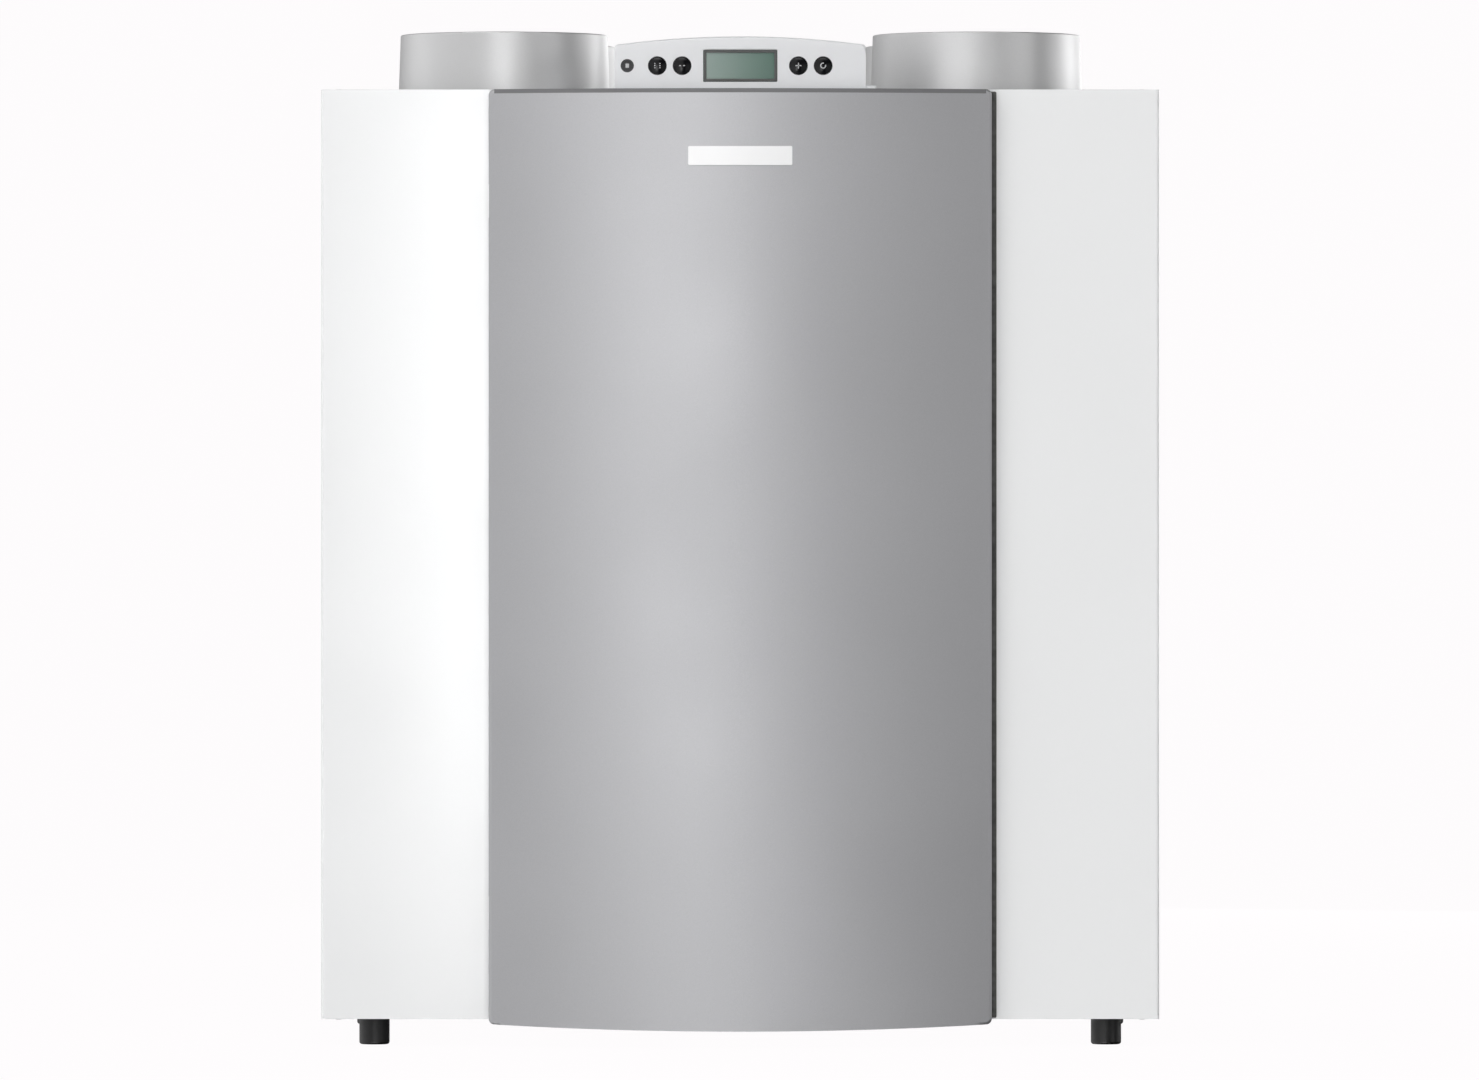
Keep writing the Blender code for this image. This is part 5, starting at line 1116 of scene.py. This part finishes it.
def gloss_plastic(name, colour, roughness=0.16):
    """Polished plastic with very faint waviness."""
    finish, tree, shader, place = finish_nodes(name, colour, roughness)
    tint(tree, shader, grain(tree, place, 300), colour, 0.9, 1.1)
    gloss(tree, shader, grain(tree, place, 120), roughness * 0.8, roughness * 1.3)
    relief(tree, shader, grain(tree, place, 400), 0.000008)
    return finish


KEY_GLOSS = gloss_plastic("key_gloss", KEY_BLACK, 0.14)
KEY_GLOSS.node_tree.nodes["Principled BSDF"].inputs["Specular IOR Level"].default_value = 0.22
MARK_PRINT = gloss_plastic("mark_print", MARK_GREY, 0.4)


def bar(across, up, width, height=MARK_LINE):
    return rectangle((across - width / 2, up - height / 2), (across + width / 2, up + height / 2))


def cross(reach):
    """The twelve corners of a plus."""
    outline = []
    half = MARK_LINE / 2
    for x, z, dx, dz in (
        (1, 1, 0, 0), (1, 1, 0, 1), (-1, 1, 0, 1), (-1, 1, 0, 0), (-1, 1, -1, 0), (-1, -1, -1, 0),
        (-1, -1, 0, 0), (-1, -1, 0, -1), (1, -1, 0, -1), (1, -1, 0, 0), (1, -1, 1, 0), (1, 1, 1, 0),
    ):
        outline.append((x * half + dx * reach, z * half + dz * reach))
    return outline


def open_ring(radius, width, gap):
    """A ring with a gap at its upper right."""
    start, end = 45 + gap / 2, 405 - gap / 2
    return fillet((0, 0), radius, start, end, 28) + fillet((0, 0), radius - width, end, start, 28)


MARKS = {
    "menu": [bar(0, up, 0.0052) for up in (0.0017, 0, -0.0017)],
    "minus": [bar(0, 0, 0.0046)],
    "plus": [cross(0.0019)],
    "reset": [open_ring(0.0024, MARK_LINE, 60)],
}
dome_radius = (key_radius**2 + DOME_RISE**2) / (2 * DOME_RISE)
dome_end = math.asin((key_radius - KEY_EDGE) / dome_radius)
for key in KEYS:
    node, body = f"button_{key}", f"{key}_button"
    x, crown = middle_of(node)[0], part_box(node)[0].y
    stem_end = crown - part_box(node)[1].y
    arc = [dome_end * i / 10 for i in range(11)]
    profile = [(dome_radius * math.sin(a), -dome_radius * (1 - math.cos(a))) for a in arc]
    profile += fillet((key_radius - KEY_EDGE, profile[-1][1] - KEY_EDGE), KEY_EDGE, 80, 0, 4)
    profile += [
        (key_radius, KEY_FLANGE[0]),
        (key_radius + KEY_COLLAR, KEY_FLANGE[0]),
        (key_radius + KEY_COLLAR, KEY_FLANGE[1]),
        (KEY_STEM, KEY_FLANGE[1]),
        (KEY_STEM, stem_end),
        (0, stem_end),
    ]
    cap = turned(profile, (x, crown, key_level), "-Y", steps=64)
    fit(f"{node}_cap", cap, KEY_GLOSS, body, [node], crease=30)
    mark = cut_from_sheet(MARKS[key], "front", 0, MARK_HEIGHT * 2, edge=0.00002)
    for vert in mark.vertices:
        away = math.hypot(vert.co.x, vert.co.z)
        sag = dome_radius - math.sqrt(dome_radius**2 - away**2)
        vert.co.y += crown - MARK_HEIGHT * 0.6 + sag
        vert.co.x += x
        vert.co.z += key_level
    fit(f"{node}_mark", mark, MARK_PRINT, body)


# ---------------------------------------------------------------------------------------------
# Service socket. A moulded dark grey ring snapped into the control housing, with a pale square
# contact block at its bottom.
SOCKET_GREY = (0.045, 0.045, 0.048)
SOCKET_LIP = 0.0007
SOCKET_FLOOR = -0.0022
SOCKET_RING = moulded("socket_ring", SOCKET_GREY, 0.45)
socket_radius = half_width("service_socket")
profile = [
    (0, SOCKET_FLOOR),
    (socket_radius - 1.7 * SOCKET_LIP, SOCKET_FLOOR),
    (socket_radius - 1.5 * SOCKET_LIP, 0),
    *fillet((socket_radius - SOCKET_LIP, 0.0001), SOCKET_LIP * 0.6, 140, 20, 4),
    (socket_radius, -0.0002),
    (socket_radius, -0.0120),
    (0, -0.0120),
]
ring = turned(profile, (socket_x, housing_front, key_level), "-Y", steps=64)
fit("service_socket_ring", ring, SOCKET_RING, "cabinet", ["service_socket"])
core = rounded(bar(socket_x, key_level, 0.0028, 0.0034), 0.0003, 2)
core = cut_from_sheet([core], "front", housing_front + 0.0004, housing_front + 0.0022, edge=0.0002)
fit("service_socket_contacts", core, MARK_PRINT, "cabinet")


# ---------------------------------------------------------------------------------------------
# Display. A moulded dark frame, clipped into the housing, round a green liquid crystal glass
# with a fine dot grid.
BEZEL_GREY = (0.075, 0.078, 0.076)
LCD_GREEN = (0.115, 0.205, 0.165)
# Painted shading across the glass: a lit colour at the left, a shaded colour at the right.
LCD_LIT_LEFT = (0.175, 0.255, 0.222)
LCD_SHADED_RIGHT = (0.062, 0.140, 0.105)
LCD_DOT = 0.00048
BEZEL_WIDTH = 0.0022
BEZEL_LAP = 0.0004  # how far the glass reaches under its frame
BEZEL = moulded("bezel_plastic", BEZEL_GREY, 0.4)
lcd_low, lcd_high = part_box("lcd_bezel")
outlines = [rounded(face("lcd_bezel"), 0.0008), rounded(face("lcd_bezel", inset=BEZEL_WIDTH), 0.0005)]
bezel = cut_from_sheet(outlines, "front", lcd_low.y, lcd_high.y, edge=0.0003)
fit("lcd_frame", bezel, BEZEL, "cabinet", ["lcd_bezel"])


def lcd_glass_finish():
    """Green reflective display under clear glass, with a dot grid, and painted shading: lighter at the left,
    darker at the right.
    """
    finish, tree, shader, place = finish_nodes("lcd_glass", LCD_GREEN, 0.22)
    feed(tree, shader, {"Coat Weight": 0.6, "Coat Roughness": 0.12})
    split = add_node(tree, "ShaderNodeSeparateXYZ", {"Vector": place})
    span = {"Value": split["X"], "From Min": lcd_low.x, "From Max": lcd_high.x}
    across = add_node(tree, "ShaderNodeMapRange", span)["Result"]
    # Painted shading: the glass's colour runs from lit at the left to shaded at the right.
    drift = shades(tree, across, LCD_LIT_LEFT, LCD_SHADED_RIGHT)
    lines = []
    for axis in ("X", "Z"):
        wave = add_node(tree, "ShaderNodeMath", {0: split[axis], 1: LCD_DOT / 2}, operation="PINGPONG")
        lines.append(wave["Value"])
    nearest = add_node(tree, "ShaderNodeMath", {0: lines[0], 1: lines[1]}, operation="MINIMUM")["Value"]
    span = {"Value": nearest, "From Max": LCD_DOT * 0.16, "To Min": 0.93, "To Max": 1.0}
    grid = add_node(tree, "ShaderNodeMapRange", span)["Result"]
    shaded = add_node(tree, "ShaderNodeVectorMath", {0: drift, "Scale": grid}, operation="SCALE")
    feed(tree, shader, {"Base Color": shaded["Vector"]})
    return finish


glass_low, glass_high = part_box("lcd_glass")
glass = face("lcd_bezel", inset=BEZEL_WIDTH - BEZEL_LAP)
glass = cut_from_sheet([glass], "front", glass_low.y + 0.0004, glass_high.y, edge=0.0001)
fit("lcd_pane", glass, lcd_glass_finish(), "cabinet", ["lcd_glass"])


# ---------------------------------------------------------------------------------------------
# Hinges and catches. Zinc plated leaves screwed to the left front strip, each with an ear that
# takes a pin from the door. Two magnetic catches hold the other side against strike plates.
PIN_RADIUS = 0.0015
PIN_CLEAR = 0.0001
PIN_TIP = 0.0006
EAR_HALF = 0.0025
EAR_THICKNESS = 0.003
LEAF_SHEET = 0.0015
LEAF_SCREW = 0.0072
LUG_CLEAR = 0.0003
LUG_SHEET = 0.002
CATCH_STEP = 0.0006  # the poles stand out this far from the case
CATCH_POLE = 0.0012
CATCH_GAP = 0.0024
for word in ("lower", "upper"):
    node = f"hinge_bracket_{word}"
    low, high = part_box(node)
    pin_x, pin_y = low.x + EAR_HALF, low.y + EAR_HALF
    level = middle_of(node)[2]
    leaf_front = high.y - LEAF_SHEET
    leaf = rounded([
        (low.x, low.z, 0.0008),
        (high.x, low.z, 0.003),
        (high.x, high.z, 0.003),
        (low.x, high.z, 0.0008),
    ])
    ear = fillet((pin_x, pin_y), EAR_HALF, 180, 360, 10)
    ear += [(pin_x + EAR_HALF, leaf_front + 0.0005), (pin_x - EAR_HALF, leaf_front + 0.0005)]
    outlines = [ear, circle((pin_x, pin_y), PIN_RADIUS + PIN_CLEAR, 24)]
    bracket = [
        cut_from_sheet([leaf], "front", leaf_front, high.y),
        cut_from_sheet(outlines, "plan", level - EAR_THICKNESS / 2, level + EAR_THICKNESS / 2),
    ]
    fit(f"hinge_{word}_bracket", together(bracket), ZINC, "cabinet", [node])
    places = [(high.x - 0.006, leaf_front, level + rise) for rise in (-LEAF_SCREW, LEAF_SCREW)]
    screws(f"hinge_{word}_screws", places, "-Y")

    node = f"door_hinge_pin_{word}"
    pin_low, pin_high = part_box(node)
    head = pin_high.z - LUG_SHEET
    profile = [
        (0, head),
        (PIN_RADIUS, head),
        (PIN_RADIUS, pin_low.z + PIN_TIP),
        (PIN_RADIUS - PIN_TIP, pin_low.z),
        (0, pin_low.z),
    ]
    lug = rounded(face(node, "plan"), 0.0012, 3)
    lug = cut_from_sheet([lug], "plan", level + EAR_THICKNESS / 2 + LUG_CLEAR, pin_high.z, edge=0.0005)
    pin = together([lug, turned(profile, (pin_x, pin_y, 0), steps=32)])
    fit(f"hinge_{word}_pin", pin, ZINC, "door", [node])

    node = f"magnet_catch_{word}"
    low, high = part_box(node)
    case = cut_from_sheet([rounded(face(node), 0.002)], "front", low.y + CATCH_STEP, high.y, edge=0.0008)
    fit(f"{node}_case", case, DARK_PLASTIC, "cabinet", [node])
    middle = middle_of(node)[0]
    poles = []
    for x in (middle - CATCH_GAP, middle + CATCH_GAP):
        pole = rectangle((x - CATCH_POLE / 2, low.z + 0.009), (x + CATCH_POLE / 2, high.z - 0.009))
        poles.append(cut_from_sheet([pole], "front", low.y, low.y + 0.003))
    fit(f"{node}_poles", together(poles), ZINC, "cabinet")
    places = [(middle, low.y + CATCH_STEP, z) for z in (low.z + 0.0046, high.z - 0.0046)]
    screws(f"{node}_screws", places, "-Y")


# ---------------------------------------------------------------------------------------------
# Front door. A bowed steel sheet with returned edges, rounded all round and sprayed in a grey
# metallic paint. A dark grey strip along its top edge is painted shade: it stands for the shade that
# the rounded top edge shows. Three pressed stiffeners cross its back, and two plates there meet the
# catches.
DOOR_GREY = (0.44, 0.44, 0.455)
DOOR_EDGE_RADIUS = 0.0028
DOOR_SHEET = 0.0012
DOOR_CORNER = 0.0045
DOOR_BOW = 0.026
DOOR_ARCH = 0.0048
DOOR_EDGE = 0.0118
# The dark strip along the door's top edge is painted shade, for the shade on the rounded top edge.
TOP_SHADE_HEIGHT = 0.0034
TOP_SHADE_PROUD = 0.0002
TOP_SHADE_THICKNESS = 0.0012
TOP_SHADE_GREY = (0.15, 0.15, 0.154)
STIFFENER_LEVELS = (0.190, 0.395, 0.640)
STIFFENER_WIDTH = 0.026
STIFFENER_RISE = 0.005
STIFFENER_EDGE = 0.010  # the flat border above and below the raised part
STIFFENER_END = 0.012
STRIKE_THICKNESS = 0.0012
DOOR_PAINT = powder_coat("door_metallic_paint", DOOR_GREY, 0.42, metallic=0.75, flake=0.05)

door_low, door_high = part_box("door_panel")
door_half = (door_high.x - door_low.x) / 2
door_back = door_high.y
door_shoulder = door_back - DOOR_EDGE
bow_radius = (door_half**2 + DOOR_BOW**2) / (2 * DOOR_BOW)


def bow_y(x):
    """The door's front at x."""
    return door_shoulder - DOOR_BOW + bow_radius - math.sqrt(bow_radius**2 - x * x)


def door_ends(x):
    """Bottom and top of the door's front at x, with round corners and an arched bottom."""
    inner = door_half - DOOR_CORNER
    corner = max(abs(x) - inner, 0)
    lift = DOOR_CORNER - math.sqrt(max(DOOR_CORNER**2 - corner**2, 0))
    arch = DOOR_ARCH * (1 - min(abs(x) / inner, 1) ** 2)
    return door_low.z + DOOR_ARCH - arch + lift, door_high.z - lift


def door_columns():
    """Places across the door: close together in its round corners."""
    inner = door_half - DOOR_CORNER
    corner = [inner + DOOR_CORNER * math.sin(math.radians(90 * i / 8)) for i in range(1, 9)]
    middle = [-inner + 2 * inner * i / 80 for i in range(81)]
    return [-x for x in reversed(corner)] + middle + corner


def door_mesh():
    """The sheet's outer skin, with its rim edge rounded, to be thickened inwards afterwards."""
    skin = bmesh.new()
    columns = door_columns()
    ends = [door_ends(x) for x in columns]
    low_row = [skin.verts.new((x, bow_y(x), end[0])) for x, end in zip(columns, ends)]
    high_row = [skin.verts.new((x, bow_y(x), end[1])) for x, end in zip(columns, ends)]
    for i in range(len(columns) - 1):
        skin.faces.new((low_row[i], low_row[i + 1], high_row[i + 1], high_row[i]))
    rim = [edge for edge in skin.edges if edge.is_boundary]
    returned = bmesh.ops.extrude_edge_only(skin, edges=rim)
    for vert in [item for item in returned["geom"] if isinstance(item, bmesh.types.BMVert)]:
        vert.co.y = door_back
    bmesh.ops.bevel(skin, geom=rim, offset=DOOR_EDGE_RADIUS, segments=5, profile=0.5, affect="EDGES")
    bmesh.ops.recalc_face_normals(skin, faces=skin.faces)
    mesh = bpy.data.meshes.new("door")
    skin.to_mesh(mesh)
    skin.free()
    return mesh


def thickened(mesh, thickness):
    """A skin made into a sheet that grows inwards."""
    piece = bpy.data.objects.new("piece", mesh)
    bpy.context.scene.collection.objects.link(piece)
    modifier = piece.modifiers.new("sheet", "SOLIDIFY")
    modifier.thickness = thickness
    modifier.offset = -1
    modifier.use_even_offset = True
    bpy.context.view_layer.update()
    result = bpy.data.meshes.new_from_object(piece.evaluated_get(bpy.context.evaluated_depsgraph_get()))
    bpy.data.objects.remove(piece)
    return result


door_notches = []
for node in ("hinge_bracket_lower", "hinge_bracket_upper"):
    low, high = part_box(node)
    pin_x, pin_y = low.x + EAR_HALF, low.y + EAR_HALF
    notch = rectangle((door_low.x - 0.01, pin_y - 0.0042), (pin_x + 0.0003, door_back + 0.01))
    door_notches.append(cut_from_sheet([notch], "plan", low.z - 0.0015, high.z + 0.0015))
door_sheet = carved(thickened(door_mesh(), DOOR_SHEET), door_notches)
fit("door_sheet", door_sheet, DOOR_PAINT, "door", ["door_panel"], crease=35)


def bow_arc(half, count):
    """Evenly spaced places across the door, with its front there."""
    across = [(-1 + 2 * i / count) * half for i in range(count + 1)]
    return [(x, bow_y(x)) for x in across]


stiffeners = []
arc = [(x, y + DOOR_SHEET) for x, y in bow_arc(door_half - STIFFENER_END, 40)]
for level in STIFFENER_LEVELS:
    for width, rise in ((STIFFENER_WIDTH + 2 * STIFFENER_EDGE, 0.0012), (STIFFENER_WIDTH, STIFFENER_RISE)):
        inner = [(x * 0.995, y + rise) for x, y in reversed(arc)]
        band = [(x, y - 0.0002) for x, y in arc] + inner
        band = plain_prism(band, "plan", level - width / 2, level + width / 2)
        stiffeners.append(softened(band, 0.0006, segments=2, angle=50))
fit("door_stiffeners", together(stiffeners), GALVANISED, "door")
# Painted shade: a dark grey strip along the door's top edge, for the shade its rounded edge shows.
top_shade_strip = [(x, y - TOP_SHADE_PROUD) for x, y in bow_arc(door_half - DOOR_CORNER, 80)]
top_shade_strip += [(x, y + TOP_SHADE_PROUD + TOP_SHADE_THICKNESS) for x, y in reversed(top_shade_strip)]
top_shade_strip = plain_prism(top_shade_strip, "plan", door_high.z - TOP_SHADE_HEIGHT, door_high.z)
top_shade_strip = softened(top_shade_strip, 0.0002, segments=2, angle=50)
fit("door_top_shade_strip", top_shade_strip, moulded("top_shade_plastic", TOP_SHADE_GREY, 0.5), "door")
strikes = []
for node in ("magnet_catch_lower", "magnet_catch_upper"):
    low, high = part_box(node)
    middle, front = middle_of(node)[0], low.y - CATCH_STEP
    plate = rounded(rectangle((middle - 0.006, low.z + 0.004), (middle + 0.006, high.z - 0.004)), 0.001, 3)
    strikes.append(cut_from_sheet([plate], "front", front - STRIKE_THICKNESS, front))
    across = [middle + 0.004 * i for i in (-1, 0, 1)]
    neck = [(x, bow_y(x) + DOOR_SHEET - 0.0001) for x in across]
    neck += [(x, front - 0.0010) for x in across[::-1]]
    strikes.append(plain_prism(neck, "plan", low.z + 0.008, high.z - 0.008))
fit("door_strike_plates", together(strikes), ZINC, "door")


# ---------------------------------------------------------------------------------------------
# Painted shadow. A dark grey strip on the right front strip, where the door's free edge comes to
# rest. The part that shows past the door's edge stands for the dark gap and the shadow the door casts.
STRIP_SHOWS = 0.0040  # how far it comes out from under the door
STRIP_HIDDEN = 0.006
GAP_SHADOW_GREY = (0.075, 0.074, 0.070)
side_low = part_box("right_side_panel")[0]
strip = rectangle(
    (door_high.x - STRIP_HIDDEN, side_low.z + 0.001), (door_high.x + STRIP_SHOWS, door_high.z - 0.0015)
)
strip = cut_from_sheet([rounded(strip, 0.0012, 3)], "front", side_low.y - 0.0010, side_low.y, edge=0.0004)
# Painted shadow: the dark strip past the door's right edge stands for the gap and its shadow.
fit("door_gap_shadow_strip", strip, rubber("gap_shadow_rubber", GAP_SHADOW_GREY, 0.7), "cabinet")


# ---------------------------------------------------------------------------------------------
# Name plate. A small blank plate of pale enamelled metal, bent to the door's bow and glued on
# near its top.
PLATE_EDGE = 0.0003
PLATE_PALE = (0.86, 0.86, 0.865)
badge_low, badge_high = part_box("name_badge")


def name_plate():
    """Rounded flat plate with rows of vertices across it, then bent onto the bow."""
    flat = cut_from_sheet([rounded(face("name_badge"), 0.0012)], "front", -0.0005, 0.0005, edge=PLATE_EDGE)
    bent = bmesh.new()
    bent.from_mesh(flat)
    for i in range(1, 12):
        x = badge_low.x + (badge_high.x - badge_low.x) * i / 12
        whole = [*bent.verts, *bent.edges, *bent.faces]
        bmesh.ops.bisect_plane(bent, geom=whole, plane_co=(x, 0, 0), plane_no=(1, 0, 0))
    for vert in bent.verts:
        vert.co.y += bow_y(vert.co.x) - 0.0008
    bent.to_mesh(flat)
    bent.free()
    return flat


ENAMEL = powder_coat("pale_enamel", PLATE_PALE, 0.25)
fit("name_plate", name_plate(), ENAMEL, "door", ["name_badge"])


# ---------------------------------------------------------------------------------------------
# Floor and backdrop. Plain near-white paper that sweeps up all round, lit evenly so that it
# shows no edge.
PAPER = (0.982, 0.965, 0.973)
PAPER_SHADE = 0.015  # how much of the lamps' light the paper adds to its own glow
FLOOR_REACH = 14
FLOOR_SWEEP = 8


def paper_finish():
    paper = bpy.data.materials.new("paper")
    paper.use_nodes = True
    tree = paper.node_tree
    tree.nodes.clear()
    glow = add_node(tree, "ShaderNodeEmission", {"Color": (*PAPER, 1.0), "Strength": 1.0})["Emission"]
    grey = (PAPER_SHADE, PAPER_SHADE, PAPER_SHADE, 1.0)
    matt = add_node(tree, "ShaderNodeBsdfDiffuse", {"Color": grey})["BSDF"]
    both = add_node(tree, "ShaderNodeAddShader", {0: glow, 1: matt})["Shader"]
    add_node(tree, "ShaderNodeOutputMaterial", {"Surface": both})
    return paper


def backdrop():
    """A floor that sweeps up all round into a wall."""
    wall = FLOOR_REACH + FLOOR_SWEEP
    sweep = fillet((FLOOR_REACH, FLOOR_SWEEP), FLOOR_SWEEP, -90, 0, 9)
    mesh = turned([(0, 0), *sweep, (wall, 30), (0, 34)], steps=64)
    mesh.materials.append(paper_finish())
    mesh.shade_smooth()
    obj = bpy.data.objects.new("backdrop", mesh)
    bpy.context.scene.collection.objects.link(obj)
    obj.visible_diffuse = False
    obj.visible_glossy = False
    obj.visible_transmission = False
    obj.visible_shadow = False


backdrop()


# ---------------------------------------------------------------------------------------------
# Light. Soft boxes in front and at the sides, mostly from the left, low ones that stand in for
# what the floor throws back, and a plain grey room that is brighter on the left.
SOFT_BOXES = {  # place, what it points at, width, height, watts
    "high_front_box": ((0, -2.8, 2.4), (0, 0, 0.5), 1.6, 1.0, 22),
    "high_left_box": ((-1.6, -1.8, 2.4), (0, 0, 0.5), 1.0, 1.0, 12),
    "high_right_box": ((1.6, -1.8, 2.4), (0, 0, 0.5), 1.0, 1.0, 10.5),
    "right_side_box": ((3.0, 0.3, 0.8), (0, 0, 0.4), 1.4, 1.8, 8),
    "right_front_box": ((2.4, -1.9, 0.6), (0, 0, 0.4), 1.4, 1.8, 9.5),
    "low_front_box": ((-0.1, -1.5, -0.7), (0, 0, 0.3), 1.0, 0.6, 7),
    "front_strip_box": ((-0.19, -3.24, 0.5), (-0.19, 0, 0.5), 0.24, 1.0, 5.2),
    "right_near_box": ((0.8, -2.4, 0.5), (0, 0, 0.45), 0.8, 1.2, 2.3),
    "left_front_box": ((-1.5, -2.6, 0.6), (-0.1, 0, 0.45), 1.2, 1.6, 1.0),
    "key_box": ((-0.2, -1.1, 0.55), (-0.15, 0, 0.5), 0.3, 0.5, 0.6),
    "key_upper_box": ((-0.2, -0.9, 0.95), (-0.15, 0, 0.7), 0.4, 0.3, 0.35),
    "key_lower_box": ((-0.1, -0.9, 0.15), (-0.1, 0, 0.2), 0.4, 0.3, 0.2),
    "left_strip_box": ((-0.23, -0.6, 0.5), (-0.23, -0.24, 0.5), 0.08, 0.7, 0.04),
    "left_side_box": ((-3.0, 0.8, 0.8), (0, 0.2, 0.4), 1.4, 1.8, 3),
    "right_rear_box": ((2.6, 1.6, 1.0), (0, 0.3, 0.4), 1.4, 1.8, 22),
    "back_box": ((1.0, 3.2, 0.9), (0, 0, 0.4), 2.2, 1.8, 30),
}
ROOM_GREY = 0.02
ROOM_LEFT = 1.0


def soft_box(name, place, aim, width, height, watts):
    lamp = bpy.data.lights.new(name, "AREA")
    lamp.shape = "RECTANGLE"
    lamp.size = width
    lamp.size_y = height
    lamp.energy = watts
    obj = bpy.data.objects.new(name, lamp)
    obj.location = place
    obj.rotation_euler = (Vector(aim) - Vector(place)).to_track_quat("-Z", "Y").to_euler()
    obj.visible_camera = False
    bpy.context.scene.collection.objects.link(obj)


for name, settings in SOFT_BOXES.items():
    soft_box(name, *settings)


def room_light():
    """A grey room, brighter towards the left."""
    room = bpy.data.worlds.new("room")
    bpy.context.scene.world = room
    room.use_nodes = True
    tree = room.node_tree
    direction = add_node(tree, "ShaderNodeTexCoord", {})["Generated"]
    values = {0: direction, 1: (-1, 0, 0)}
    leftward = add_node(tree, "ShaderNodeVectorMath", values, operation="DOT_PRODUCT")["Value"]
    not_behind = add_node(tree, "ShaderNodeMath", {0: leftward, 1: 0}, operation="MAXIMUM")["Value"]
    strength = {0: not_behind, 1: ROOM_LEFT, 2: ROOM_GREY}
    strength = add_node(tree, "ShaderNodeMath", strength, operation="MULTIPLY_ADD")["Value"]
    feed(tree, tree.nodes["Background"], {"Color": (1.0, 1.0, 1.0, 1.0), "Strength": strength})


room_light()

scene = bpy.context.scene
scene.view_settings.view_transform = "Standard"
scene.view_settings.look = "None"


# ---------------------------------------------------------------------------------------------
# Camera. Straight on, level and half way up the unit. It stands far back, so that uprights stay
# upright.
CAMERA_DISTANCE = 10.0  # from the casing's front
CAMERA_HEIGHT = 0.409
CAMERA_ACROSS = -0.0006
FRAME_WIDTH = 1.194862  # metres of the casing's front across the whole view
camera_data = bpy.data.cameras.new("camera")
camera_data.sensor_width = 36.0
camera_data.lens = camera_data.sensor_width * CAMERA_DISTANCE / FRAME_WIDTH
camera_data.clip_end = 100.0
camera = bpy.data.objects.new("camera", camera_data)
camera.location = (CAMERA_ACROSS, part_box("left_side_panel")[0].y - CAMERA_DISTANCE, CAMERA_HEIGHT)
camera.rotation_euler = (math.pi / 2, 0, 0)
scene.collection.objects.link(camera)
scene.camera = camera
